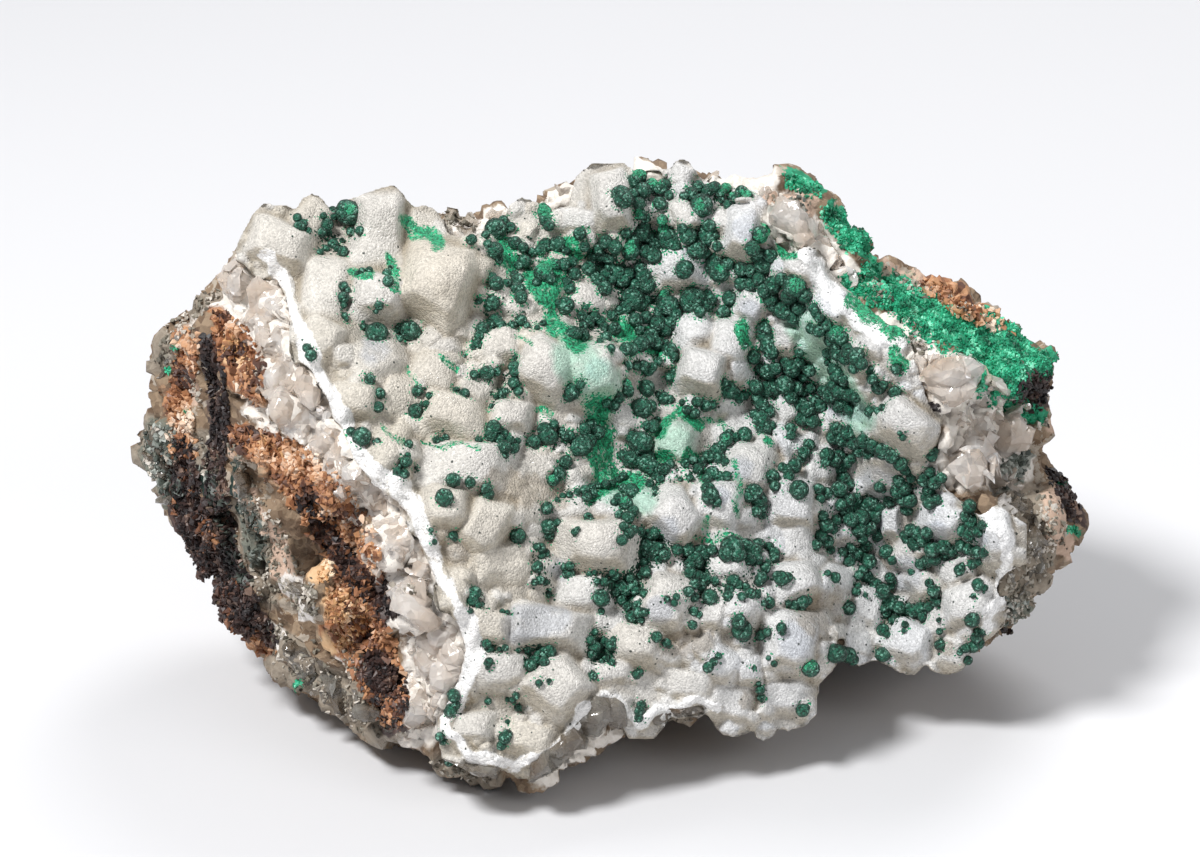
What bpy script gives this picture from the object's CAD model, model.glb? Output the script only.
import math
import random

import bmesh
import bpy
import numpy as np
from mathutils import Matrix, Vector, noise
from mathutils.bvhtree import BVHTree
from mathutils.kdtree import KDTree


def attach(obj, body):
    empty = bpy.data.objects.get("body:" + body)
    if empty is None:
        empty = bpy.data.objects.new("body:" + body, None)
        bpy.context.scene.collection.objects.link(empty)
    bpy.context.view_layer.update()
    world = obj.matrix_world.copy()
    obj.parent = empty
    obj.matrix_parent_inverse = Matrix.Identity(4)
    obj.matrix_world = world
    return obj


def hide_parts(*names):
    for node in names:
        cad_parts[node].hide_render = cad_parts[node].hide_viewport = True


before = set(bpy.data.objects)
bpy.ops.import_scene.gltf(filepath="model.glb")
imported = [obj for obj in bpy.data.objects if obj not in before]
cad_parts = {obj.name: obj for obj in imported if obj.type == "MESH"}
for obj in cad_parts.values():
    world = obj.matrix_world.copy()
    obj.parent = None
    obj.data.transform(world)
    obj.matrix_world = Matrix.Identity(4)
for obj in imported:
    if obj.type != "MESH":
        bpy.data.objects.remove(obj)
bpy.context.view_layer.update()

# The picture plane lies in the mouth of the hollow. Pixels are those of the 1200 x 857 view.
view = {
    "imagePx": (1200, 857),
    "eyePx": (611, 480),              # foot of the line of sight
    "pixel": 0.100 / 940,             # metres in the mouth plane
    "distance": 0.450,
    "lookDown": math.radians(24),
    "mouth": (0.00033, -0.00827, 0.0295),
    "sensorMm": 36,
}

faceTurn = Matrix.Rotation(math.pi / 2 - view["lookDown"], 3, "X")
mouth = Vector(view["mouth"])
eye = mouth + faceTurn @ Vector((0, 0, view["distance"]))
openAir = 9.0                        # the distance along a line of sight that meets nothing


def sightLine(x, y):
    across = (x - view["eyePx"][0]) * view["pixel"]
    up = (view["eyePx"][1] - y) * view["pixel"]
    return (faceTurn @ Vector((across, up, -view["distance"]))).normalized()


def pictureOf(points):
    # the pixels that points in space fall on
    flat = (points - np.array(mouth)) @ np.array(faceTurn)
    scale = view["pixel"] * (view["distance"] - flat[:, 2]) / view["distance"]
    x = view["eyePx"][0] + flat[:, 0] / scale
    y = view["eyePx"][1] - flat[:, 1] / scale
    return x, y


# Mesh helpers

def makeObject(name, points, faces):
    data = bpy.data.meshes.new(name)
    data.from_pydata(points, [], faces)
    data.update()
    thing = bpy.data.objects.new(name, data)
    bpy.context.scene.collection.objects.link(thing)
    return thing


def copyOf(node, name):
    thing = bpy.data.objects.new(name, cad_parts[node].data.copy())
    thing.data.materials.clear()
    bpy.context.scene.collection.objects.link(thing)
    return thing


def bake(thing):
    graph = bpy.context.evaluated_depsgraph_get()
    data = bpy.data.meshes.new_from_object(thing.evaluated_get(graph))
    thing.modifiers.clear()
    thing.data = data
    return thing


def coordsOf(thing):
    flat = np.empty(len(thing.data.vertices) * 3, np.float32)
    thing.data.vertices.foreach_get("co", flat)
    return flat.reshape(-1, 3).astype(float)


def setCoords(thing, points):
    thing.data.vertices.foreach_set("co", points.astype(np.float32).ravel())
    thing.data.update()


def normalsOf(thing):
    flat = np.empty(len(thing.data.vertices) * 3, np.float32)
    thing.data.vertex_normals.foreach_get("vector", flat)
    return flat.reshape(-1, 3).astype(float)


def edgesOf(thing):
    flat = np.empty(len(thing.data.edges) * 2, np.int32)
    thing.data.edges.foreach_get("vertices", flat)
    return flat.reshape(-1, 2)


def quadsOf(thing):
    faces = thing.data.polygons
    starts, sizes = np.empty(len(faces), np.int32), np.empty(len(faces), np.int32)
    corners = np.empty(len(thing.data.loops), np.int32)
    faces.foreach_get("loop_start", starts)
    faces.foreach_get("loop_total", sizes)
    thing.data.loops.foreach_get("vertex_index", corners)
    return corners[starts[sizes == 4][:, None] + np.arange(4)]


def eyeward(points):
    toEye = np.array(eye) - points
    return toEye / np.linalg.norm(toEye, axis=1)[:, None]


def relax(values, edges, rounds):
    # every value becomes the mean of itself and its neighbours
    count = len(values)
    shape = (count,) + (1,) * (values.ndim - 1)
    links = np.bincount(edges.ravel(), minlength=count).reshape(shape) + 1.0
    for _ in range(rounds):
        total = values.copy()
        np.add.at(total, edges[:, 0], values[edges[:, 1]])
        np.add.at(total, edges[:, 1], values[edges[:, 0]])
        values = total / links
    return values


def hollowness(points, normals, edges, rounds):
    # above zero where the surroundings stand higher
    return ((relax(points, edges, rounds) - points) * normals).sum(axis=1)


def storeMask(thing, name, values):
    layer = thing.data.attributes.new(name, "FLOAT", "POINT")
    layer.data.foreach_set("value", np.clip(values, 0, 1).astype(np.float32))


def addHull(shell, points):
    verts = [shell.verts.new(point) for point in points]
    made = bmesh.ops.convex_hull(shell, input=verts)
    spare = [v for v in made["geom_interior"] if isinstance(v, bmesh.types.BMVert)]
    bmesh.ops.delete(shell, geom=spare, context="VERTS")


def voxelSkin(thing, size):
    skin = thing.modifiers.new("skin", "REMESH")
    skin.mode = "VOXEL"
    skin.voxel_size = size
    skin.use_smooth_shade = True
    return bake(thing)


def treeOf(thing):
    return BVHTree.FromObject(thing, bpy.context.evaluated_depsgraph_get())


def ramp(values, low, high):
    # a soft step from 0 to 1
    t = np.clip((values - low) / (high - low), 0, 1)
    return t * t * (3 - 2 * t)


def cloud(points, size, seed, octaves=3):
    # soft noise at every point
    shift = Vector((seed * 7.31, seed * 3.17, seed * 5.77))
    made = [noise.fractal(Vector(p) / size + shift, 1.0, 2.0, octaves) for p in points]
    return np.array(made)


def chunks(points, size, seed, tilt):
    # broken faces: every seed point carries a small tilted plane that its surroundings follow
    fewest = 3
    rng = np.random.default_rng(seed)
    low, high = points.min(axis=0), points.max(axis=0)
    count = max(fewest, int(np.prod((high - low) / size)))
    seeds = rng.uniform(low, high, (count, 3))
    tree = KDTree(count)
    for i, place in enumerate(seeds):
        tree.insert(place, i)
    tree.balance()
    nearest = np.array([tree.find(p)[1] for p in points])
    slopes = rng.normal(0, tilt, (count, 3))
    lifts = rng.normal(0, 0.25 * size, count)
    away = points - seeds[nearest]
    return lifts[nearest] * tilt + (away * slopes[nearest]).sum(axis=1)


softBorder = (0.55, 1.25)            # a stroke fades between these shares of its width


def strokeMask(x, y, strokes):
    # strokes of (x, y, half width) in view pixels; full in the middle, nothing past the width
    found = np.zeros(len(x))
    for stroke in strokes:
        ends = stroke if len(stroke) > 1 else stroke * 2
        for (ax, ay, aw), (bx, by, bw) in zip(ends, ends[1:]):
            dx, dy = bx - ax, by - ay
            length = dx * dx + dy * dy + 1e-6
            t = np.clip(((x - ax) * dx + (y - ay) * dy) / length, 0, 1)
            away = np.hypot(x - ax - t * dx, y - ay - t * dy)
            wide = aw + (bw - aw) * t
            found = np.maximum(found, 1 - ramp(away / wide, *softBorder))
    return found


# Shader helpers

def newMaterial(name):
    made = bpy.data.materials.new(name)
    made.use_nodes = True
    tree = made.node_tree
    return made, tree, tree.nodes["Principled BSDF"]


def put(tree, kind, inputs=None, **settings):
    node = tree.nodes.new(kind)
    for key, value in settings.items():
        setattr(node, key, value)
    for key, value in (inputs or {}).items():
        if hasattr(value, "is_output"):
            tree.links.new(value, node.inputs[key])
        else:
            node.inputs[key].default_value = value
    return node


def mixColours(tree, mask, first, second):
    return put(tree, "ShaderNodeMix", {0: mask, 6: first, 7: second}, data_type="RGBA").outputs[2]


def shaded(tree, colour, value, low, high):
    # the colour made darker or lighter, as the value runs from 0 to 1
    grey = put(tree, "ShaderNodeMapRange", {"Value": value, "To Min": low, "To Max": high}).outputs["Result"]
    node = put(tree, "ShaderNodeMix", {0: 1.0, 6: colour, 7: grey}, data_type="RGBA", blend_type="MULTIPLY")
    return node.outputs[2]


def colourStops(tree, value, stops):
    node = put(tree, "ShaderNodeValToRGB", {"Fac": value})
    for k, (at, tone) in enumerate(stops):
        stop = node.color_ramp.elements[k] if k < 2 else node.color_ramp.elements.new(at)
        stop.position = at
        stop.color = tone
    return node.outputs["Color"]


def maths(tree, operation, first, second=0.0, clamp=False):
    node = put(tree, "ShaderNodeMath", {0: first, 1: second}, operation=operation, use_clamp=clamp)
    return node.outputs[0]


def vectorMaths(tree, operation, first, second):
    return put(tree, "ShaderNodeVectorMath", {0: first, 1: second}, operation=operation)


def attribute(tree, name):
    return put(tree, "ShaderNodeAttribute", attribute_name=name).outputs["Fac"]


def place(tree):
    return put(tree, "ShaderNodeTexCoord").outputs["Object"]


def rgb(red, green, blue):
    # picture values from 0 to 255, as linear light
    def linear(value):
        c = value / 255
        return c / 12.92 if c <= 0.04045 else ((c + 0.055) / 1.055) ** 2.4
    return (linear(red), linear(green), linear(blue), 1.0)


def newGroup(name, inputs, outputs):
    group = bpy.data.node_groups.new(name, "ShaderNodeTree")
    for label, kind, value in inputs:
        socket = group.interface.new_socket(label, in_out="INPUT", socket_type="NodeSocket" + kind)
        if value is not None:
            socket.default_value = value
    for label, kind in outputs:
        group.interface.new_socket(label, in_out="OUTPUT", socket_type="NodeSocket" + kind)
    return group, group.nodes.new("NodeGroupInput"), group.nodes.new("NodeGroupOutput")


def makePatchGroup():
    # breaks up the border of a soft mask with noise, as growth and stains end in nature
    group, given, out = newGroup(
        "patchyBorder",
        [("Vector", "Vector", None), ("Mask", "Float", 0.0), ("Scale", "Float", 900.0),
         ("Roughness", "Float", 0.6), ("Amount", "Float", 1.0), ("Sharpness", "Float", 4.0)],
        [("Mask", "Float")],
    )
    grain = put(group, "ShaderNodeTexNoise", {
        "Vector": given.outputs["Vector"], "Scale": given.outputs["Scale"], "Detail": 4.0,
        "Roughness": given.outputs["Roughness"]})
    centred = maths(group, "SUBTRACT", grain.outputs["Fac"], 0.5)
    wide = maths(group, "MULTIPLY", centred, given.outputs["Amount"])
    doubled = maths(group, "MULTIPLY", wide, 3.0)
    moved = maths(group, "ADD", given.outputs["Mask"], doubled)
    middle = maths(group, "SUBTRACT", moved, 0.5)
    steep = maths(group, "MULTIPLY", middle, given.outputs["Sharpness"])
    shown = maths(group, "ADD", steep, 0.5, clamp=True)
    kept = maths(group, "MULTIPLY", given.outputs["Mask"], 6.0, clamp=True)   # none where the mask is empty
    group.links.new(maths(group, "MULTIPLY", shown, kept), out.inputs["Mask"])
    return group


def makeSugarGroup():
    # tiny crystal faces that catch the light: a height, a sparkle mask and a tone
    group, given, out = newGroup(
        "sugarCoat",
        [("Vector", "Vector", None), ("Size", "Float", 0.00018), ("Depth", "Float", 1.0)],
        [("Height", "Float"), ("Sparkle", "Float"), ("Tone", "Float")],
    )
    scale = maths(group, "DIVIDE", 1.0, given.outputs["Size"])
    cells = put(group, "ShaderNodeTexVoronoi", {"Vector": given.outputs["Vector"], "Scale": scale})
    finer = maths(group, "MULTIPLY", scale, 2.3)
    grain = put(group, "ShaderNodeTexNoise", {"Vector": given.outputs["Vector"], "Scale": finer,
                                              "Detail": 2.0})
    domes = maths(group, "SUBTRACT", 1.0, cells.outputs["Distance"])
    both = maths(group, "ADD", domes, maths(group, "MULTIPLY", grain.outputs["Fac"], 0.6))
    group.links.new(maths(group, "MULTIPLY", both, given.outputs["Depth"]), out.inputs["Height"])
    parts = put(group, "ShaderNodeSeparateColor", {"Color": cells.outputs["Color"]})
    bright = maths(group, "GREATER_THAN", parts.outputs["Red"], 0.88)
    group.links.new(bright, out.inputs["Sparkle"])
    mixed = maths(group, "ADD", parts.outputs["Green"], grain.outputs["Fac"])
    group.links.new(maths(group, "MULTIPLY", mixed, 0.5), out.inputs["Tone"])
    return group


def makeSpeckGroup():
    # small round specks scattered in cells, only where the density mask lets them
    group, given, out = newGroup(
        "specks",
        [("Vector", "Vector", None), ("Spacing", "Float", 0.0009), ("Radius", "Float", 0.16),
         ("Density", "Float", 0.3)],
        [("Mask", "Float")],
    )
    scale = maths(group, "DIVIDE", 1.0, given.outputs["Spacing"])
    cells = put(group, "ShaderNodeTexVoronoi", {"Vector": given.outputs["Vector"], "Scale": scale})
    parts = put(group, "ShaderNodeSeparateColor", {"Color": cells.outputs["Color"]})
    chosen = maths(group, "LESS_THAN", parts.outputs["Green"], given.outputs["Density"])
    reach = maths(group, "MULTIPLY", given.outputs["Radius"], maths(group, "ADD", parts.outputs["Blue"], 0.4))
    near = maths(group, "LESS_THAN", cells.outputs["Distance"], reach)
    group.links.new(maths(group, "MULTIPLY", chosen, near), out.inputs["Mask"])
    return group


def makeStippleGroup():
    # tiny grains that stand closer together the stronger the mask is
    group, given, out = newGroup(
        "stipple",
        [("Vector", "Vector", None), ("Mask", "Float", 0.0), ("Size", "Float", 0.0002),
         ("Gain", "Float", 1.0)],
        [("Mask", "Float")],
    )
    scale = maths(group, "DIVIDE", 1.0, given.outputs["Size"])
    cells = put(group, "ShaderNodeTexVoronoi", {"Vector": given.outputs["Vector"], "Scale": scale})
    parts = put(group, "ShaderNodeSeparateColor", {"Color": cells.outputs["Color"]})
    drift = put(group, "ShaderNodeTexNoise", {"Vector": given.outputs["Vector"], "Scale": 700.0,
                                              "Detail": 3.0})
    swing = maths(group, "MULTIPLY", maths(group, "SUBTRACT", drift.outputs["Fac"], 0.5), 2.4)
    level = maths(group, "MULTIPLY", given.outputs["Mask"], given.outputs["Gain"])
    moved = maths(group, "MULTIPLY", level, maths(group, "ADD", swing, 1.0))
    group.links.new(maths(group, "LESS_THAN", parts.outputs["Red"], moved), out.inputs["Mask"])
    return group


def makeFacetGroup():
    # broken faces: every cell is a plane of its own tilt
    group, given, out = newGroup(
        "brokenFacets",
        [("Vector", "Vector", None), ("Size", "Float", 0.0012), ("Tilt", "Float", 0.8)],
        [("Height", "Float"), ("Tone", "Float")],
    )
    scale = maths(group, "DIVIDE", 1.0, given.outputs["Size"])
    bent = put(group, "ShaderNodeTexNoise", {"Vector": given.outputs["Vector"],
                                             "Scale": maths(group, "MULTIPLY", scale, 0.7)})
    sway = put(group, "ShaderNodeVectorMath", {0: bent.outputs["Color"]}, operation="SCALE")
    group.links.new(maths(group, "MULTIPLY", given.outputs["Size"], 0.9), sway.inputs["Scale"])
    moved = vectorMaths(group, "ADD", given.outputs["Vector"], sway.outputs[0])
    cells = put(group, "ShaderNodeTexVoronoi", {"Vector": moved.outputs[0], "Scale": scale})
    away = vectorMaths(group, "SUBTRACT", moved.outputs[0], cells.outputs["Position"])
    lean = vectorMaths(group, "SUBTRACT", cells.outputs["Color"], (0.5, 0.5, 0.5))
    slope = vectorMaths(group, "DOT_PRODUCT", away.outputs[0], lean.outputs[0]).outputs["Value"]
    group.links.new(maths(group, "MULTIPLY", slope, given.outputs["Tilt"]), out.inputs["Height"])
    parts = put(group, "ShaderNodeSeparateColor", {"Color": cells.outputs["Color"]})
    group.links.new(parts.outputs["Green"], out.inputs["Tone"])
    return group


patchGroup = makePatchGroup()
facetGroup = makeFacetGroup()
sugarGroup = makeSugarGroup()
speckGroup = makeSpeckGroup()
stippleGroup = makeStippleGroup()


def groupNode(tree, group, inputs):
    return put(tree, "ShaderNodeGroup", inputs, node_tree=group)


def patchy(tree, at, name, scale, amount, sharp):
    # a mask of the mesh with a broken border
    return groupNode(tree, patchGroup, {"Vector": at, "Mask": attribute(tree, name), "Scale": scale,
                                        "Amount": amount, "Sharpness": sharp}).outputs["Mask"]


def stippled(tree, at, name, size, gain):
    # a mask of the mesh as tiny grains
    return groupNode(tree, stippleGroup, {"Vector": at, "Mask": attribute(tree, name), "Size": size,
                                          "Gain": gain}).outputs["Mask"]


def noiseOf(tree, at, scale, detail, roughness=0.5):
    return put(tree, "ShaderNodeTexNoise", {"Vector": at, "Scale": scale, "Detail": detail,
                                            "Roughness": roughness}).outputs["Fac"]


def remapped(tree, value, ends, onto=(0.0, 1.0)):
    return put(tree, "ShaderNodeMapRange", {"Value": value, "From Min": ends[0], "From Max": ends[1],
                                            "To Min": onto[0], "To Max": onto[1]}).outputs["Result"]


def bumped(tree, shader, height, strength, distance):
    bump = put(tree, "ShaderNodeBump", {"Height": height, "Strength": strength, "Distance": distance})
    tree.links.new(bump.outputs["Normal"], shader.inputs["Normal"])


# Frosted quartz: the crust of blocky crystals in the hollow

druse = {
    "xPx": (232, 1030),           # reach of the crust in the view
    "yPx": (150, 800),
    "stepPx": 2.0,
    "behind": 0.016,              # the crust's back is looked for from this far behind its front
    "overlap": 0.0002,            # crust no farther than this behind the rock is seen
    "edgeSteps": 3,               # the rows along the edge are evened sideways
    "edgeRounds": 4,
    "evenPx": 13,                 # the crystals stand on the crust's shape evened out over this reach
    "thinnest": 0.0008,
    "ridgePx": 9,                 # the broken edge stands up beside the rock
    "wobblePx": 3.0,              # how far green lines wander
    "ridgeWavePx": 3,
    "lipPx": 6.0,                 # how far the edge rolls back
    "lipDropPx": 5.0,
    "overRock": 0.0005,           # height over the rock's edge
    "closePx": 8,                 # gaps smaller than this close
    "roundPx": 1.0,               # rounding of the crystals' edges
    "fillers": 420,               # small crystals between the large ones
    "fillerPx": (5, 13),
    "lowPx": 7,                   # they stand where the crust is lower than this
    "coldPx": (430, 800),         # from warm on the left to cold on the right
    "ownTone": 0.45,
    "hollowPx": (12, 22),         # reach and depth of a full hollow
    "waves": (0.0030, 0.00010),   # size and height
    "grain": (0.00055, 0.000035),
    "wallRows": 4,
    "backShare": 0.10,            # the hidden back keeps this share of its faces
}

# The crystals: (x, y, half length, half width, turn clockwise, shift of the top in x and y, height) in pixels
crystalBlocks = [
    (280, 246, 38, 27, 15, -4, -8, 24), (313, 221, 20, 22, 45, 0, -5, 15), (377, 229, 28, 40, 4, 2, -6, 28),
    (421, 227, 18, 17, 20, 0, -3, 9), (435, 286, 43, 45, 22, 3, -7, 31), (481, 270, 13, 15, 10, 0, -2, 9),
    (325, 288, 25, 33, 10, -2, -6, 19), (380, 299, 34, 26, 8, 0, -8, 23), (320, 340, 24, 24, 35, 2, -6, 16),
    (375, 360, 34, 25, -20, 0, -4, 14), (357, 401, 25, 21, 0, -3, -7, 16),
    (400, 396, 22, 26, 12, 0, -3, 11), (436, 371, 27, 25, 10, 2, -4, 15), (452, 417, 37, 26, 3, 0, -9, 24),
    (484, 300, 11, 17, 0, 0, -2, 8), (498, 346, 24, 19, -10, 0, -5, 16), (478, 382, 21, 23, 20, 0, -4, 14),
    (512, 417, 24, 19, 8, 0, -6, 18), (549, 373, 36, 33, 32, -2, -7, 24), (513, 303, 15, 15, 25, 0, -2, 10),
    (385, 453, 22, 21, 45, -1, -4, 14), (470, 469, 54, 29, 3, 0, -6, 20),
    (447, 510, 28, 26, 10, -2, -7, 24), (486, 527, 26, 33, 28, 2, -4, 26),
    (503, 564, 32, 23, -4, 0, -5, 16), (534, 508, 21, 27, 5, 0, -3, 10), (535, 470, 22, 21, 20, 0, -3, 9),
    (570, 510, 26, 15, -14, 0, -4, 12), (597, 549, 48, 31, 5, 0, -8, 25), (608, 505, 21, 15, 0, 0, -3, 10),
    (676, 518, 27, 33, -36, 2, -4, 27), (717, 507, 28, 29, 12, 0, -5, 18), (722, 540, 21, 12, 0, 0, -2, 9),
    (668, 605, 31, 37, 18, 1, -6, 26), (690, 622, 14, 13, 30, 0, -2, 16), (712, 612, 19, 23, 8, 0, -4, 15),
    (584, 595, 33, 21, 8, 0, -6, 16), (610, 622, 19, 13, 0, 0, -2, 9), (551, 630, 45, 26, 6, -3, -7, 28),
    (490, 628, 25, 20, 12, 0, -4, 15), (457, 585, 13, 21, 0, 0, -2, 8), (497, 672, 38, 23, -6, 0, -5, 15),
    (557, 689, 35, 37, 42, 0, -7, 26), (470, 728, 28, 17, -5, 0, -4, 13), (530, 742, 30, 22, 15, 0, -5, 14),
    (636, 645, 31, 23, 20, 0, -5, 16), (612, 672, 21, 13, -5, 0, -2, 10), (668, 655, 19, 15, 20, 0, -3, 10),
    (705, 650, 19, 18, 45, 0, -3, 16), (690, 688, 33, 18, 5, 0, -4, 12), (730, 408, 17, 12, 0, 0, -3, 9),
    (740, 430, 30, 15, -20, 0, -3, 12), (750, 466, 29, 25, 22, 0, -5, 20),
    (790, 503, 27, 31, 14, 2, -5, 24), (820, 466, 19, 22, 5, 0, -4, 17), (785, 440, 10, 21, -32, 0, -3, 16),
    (786, 410, 13, 17, -20, 0, -3, 12), (842, 418, 21, 15, 24, 0, -3, 10), (882, 478, 26, 23, 4, 0, -5, 20),
    (907, 430, 38, 27, 42, 0, -6, 26), (838, 500, 15, 15, 10, 0, -2, 12),
    (797, 540, 19, 19, -20, 0, -3, 13), (857, 532, 23, 21, 12, 0, -4, 15), (890, 525, 13, 20, 0, 0, -3, 20),
    (940, 521, 27, 19, 16, 0, -4, 15), (908, 558, 21, 18, 30, 0, -4, 17),
    (922, 586, 18, 19, -30, 0, -3, 18), (878, 573, 10, 21, -40, 0, -3, 15),
    (955, 573, 21, 17, -20, 0, -4, 15), (970, 606, 32, 27, -14, 0, -5, 21),
    (795, 583, 30, 23, -10, 3, -5, 22), (790, 646, 30, 39, 6, 3, -7, 29),
    (824, 625, 13, 19, -25, 0, -2, 12), (838, 588, 21, 25, 8, 0, -5, 18), (868, 608, 21, 25, 14, 0, -5, 20),
    (860, 643, 16, 17, 0, 0, -2, 13), (908, 644, 27, 27, 20, 0, -5, 19), (952, 655, 21, 20, 10, 0, -4, 13),
    (995, 535, 19, 31, -10, 2, -4, 17), (728, 567, 25, 17, 0, 0, -4, 12), (742, 610, 23, 23, 30, 0, -4, 16),
    (722, 667, 25, 23, 22, 0, -5, 17), (750, 672, 17, 19, 0, 0, -3, 14), (730, 706, 27, 22, 8, 0, -4, 13),
    (785, 700, 28, 20, 10, 2, -4, 16), (612, 203, 23, 35, -8, 0, -8, 25), (578, 222, 28, 14, 8, 0, -4, 11),
    (680, 178, 15, 15, 20, 0, -3, 12), (684, 216, 16, 24, -35, 0, -3, 18),
    (741, 233, 20, 31, 16, 0, -5, 22), (680, 268, 31, 25, 4, 0, -4, 14), (590, 300, 23, 19, 10, 0, -4, 12),
    (592, 376, 30, 35, -16, 1, -6, 26), (692, 330, 24, 19, -20, 0, -5, 18),
    (730, 343, 23, 25, 12, 0, -5, 20), (702, 375, 26, 28, 10, -1, -7, 28), (740, 374, 11, 17, 0, 0, -2, 14),
    (750, 307, 19, 19, 22, 0, -4, 16), (785, 342, 16, 18, 10, 0, -3, 16),
    (815, 334, 16, 27, -16, 0, -4, 16), (676, 443, 24, 25, 20, 0, -5, 22), (625, 418, 19, 17, 0, 0, -3, 10),
    (797, 266, 24, 15, 22, 0, -3, 14), (832, 306, 21, 21, 30, 0, -4, 14), (872, 342, 19, 17, 30, 0, -3, 14),
    (262, 285, 12, 20, 10, 0, -3, 8), (440, 348, 22, 12, 0, 0, -2, 9), (545, 292, 20, 20, 20, 0, -3, 10),
    (640, 350, 22, 16, 0, 0, -2, 9), (770, 620, 10, 12, 0, 0, -2, 9), (935, 625, 15, 17, 20, 0, -3, 12),
    (655, 570, 14, 12, 10, 0, -2, 9), (895, 605, 14, 12, 0, 0, -2, 10), (560, 265, 18, 16, 10, 0, -2, 9),
]

# Where the crust is stained green by fine malachite: (x, y, half width) strokes
greenStrokes = [
    [(543, 262, 8), (556, 275, 10), (545, 300, 9), (558, 330, 9), (578, 346, 8)],
    [(530, 275, 6), (543, 296, 8)],
    [(405, 222, 8), (435, 240, 8)], [(355, 270, 5), (372, 274, 5)], [(388, 258, 5), (398, 290, 6)],
    [(440, 352, 2), (460, 372, 2)], [(410, 365, 2), (415, 385, 2)], [(381, 428, 3), (400, 440, 3)],
    [(425, 445, 2), (480, 445, 3)], [(515, 335, 3), (530, 345, 3)], [(537, 412, 3), (552, 410, 4)],
    [(500, 245, 7), (515, 265, 7)], [(565, 240, 7), (576, 256, 7)], [(625, 330, 12), (655, 345, 12)],
    [(600, 405, 14), (598, 440, 15), (606, 480, 14)], [(640, 480, 10), (610, 486, 8), (590, 500, 5)],
    [(655, 470, 9), (668, 455, 8)], [(658, 430, 7), (680, 412, 6), (700, 425, 5)],
    [(690, 415, 4), (735, 430, 4)], [(737, 465, 4), (738, 512, 4)], [(708, 520, 4), (708, 546, 4)],
    [(700, 542, 4), (720, 536, 4), (740, 538, 3)], [(766, 226, 5), (790, 258, 5)],
    [(860, 300, 14), (905, 330, 14)], [(745, 325, 8), (745, 345, 6)], [(770, 440, 6)],
    [(890, 350, 6), (905, 365, 5)], [(690, 455, 6), (705, 480, 5)],
]

greenTints = [
    [(575, 360, 26), (600, 385, 24)], [(675, 440, 24)], [(640, 500, 18), (600, 490, 10)],
    [(800, 320, 20), (860, 420, 16)],
]

blueStrokes = [
    [(745, 225, 16)], [(742, 468, 14)], [(664, 530, 16)], [(880, 485, 22)], [(905, 575, 20)],
    [(750, 310, 12)], [(598, 370, 14)], [(520, 625, 20), (560, 618, 14)], [(840, 400, 18), (860, 412, 12)],
    [(660, 610, 14)], [(795, 640, 20)], [(936, 535, 14)], [(560, 570, 12)], [(375, 350, 16)],
    [(690, 250, 10)], [(872, 520, 14)], [(980, 540, 10)], [(720, 495, 10)],
]

brownStrokes = [
    [(500, 485, 20), (555, 495, 16)], [(670, 645, 14), (700, 640, 14)], [(750, 700, 12)],
    [(945, 648, 10)], [(450, 545, 22)], [(815, 615, 22), (840, 600, 16)], [(460, 700, 14)],
    [(600, 650, 10)], [(445, 720, 10)], [(470, 640, 8)],
]

rimStroke = [
    [(264, 256, 7), (280, 272, 10), (288, 292, 6), (298, 324, 7), (312, 362, 10), (326, 388, 7),
     (340, 410, 10), (348, 430, 7), (362, 460, 12), (378, 474, 10), (396, 488, 15), (414, 506, 9),
     (424, 530, 11), (432, 556, 7), (446, 584, 9), (458, 606, 8), (468, 628, 12), (474, 652, 14),
     (466, 682, 9), (452, 706, 11), (444, 726, 7), (470, 756, 6), (496, 762, 9), (520, 764, 6),
     (545, 756, 9), (566, 738, 6), (585, 712, 9), (604, 700, 10), (625, 710, 7), (640, 722, 8),
     (655, 712, 5), (700, 700, 6), (720, 705, 4)], [(780, 240, 6), (812, 262, 8), (828, 292, 8),
     (860, 325, 8), (900, 345, 8)], [(985, 512, 10), (1008, 540, 8), (1004, 590, 8), (985, 625, 7)],
]

# Where the crust also lies on the rock's edge
edgeGrowth = [
    [(592, 176, 9), (622, 163, 10), (655, 163, 11), (690, 170, 11), (712, 188, 9), (745, 194, 11),
     (765, 204, 8)], [(290, 300, 7), (298, 325, 8), (308, 350, 9), (322, 378, 10), (338, 402, 10),
     (350, 430, 11), (362, 456, 12), (380, 478, 13), (403, 494, 13), (420, 516, 12), (431, 548, 13),
     (449, 584, 13), (464, 614, 13), (475, 648, 13), (468, 678, 12), (456, 705, 12), (443, 728, 10)],
    [(812, 260, 9), (832, 284, 10), (852, 302, 10), (882, 326, 9)], [(905, 352, 9), (918, 382, 9)],
    [(262, 256, 8), (280, 275, 8), (292, 300, 7)],
]


crystal = {
    "turn": 6,                     # degrees that a crystal may turn from its place in the list
    "dome": 0.10,
    "topTilt": 0.16,
    "sideTurn": 9,
    "side": (1.0, 0.54),           # foot and top of a side face, as shares of the half size
    "corner": (1.22, 0.72),
    "footSpread": (0.95, 1.06),
    "topSpread": (0.78, 1.15),
    "steepest": 0.16,
    "reach": 1.7,                  # no face runs farther out than this
}


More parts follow.
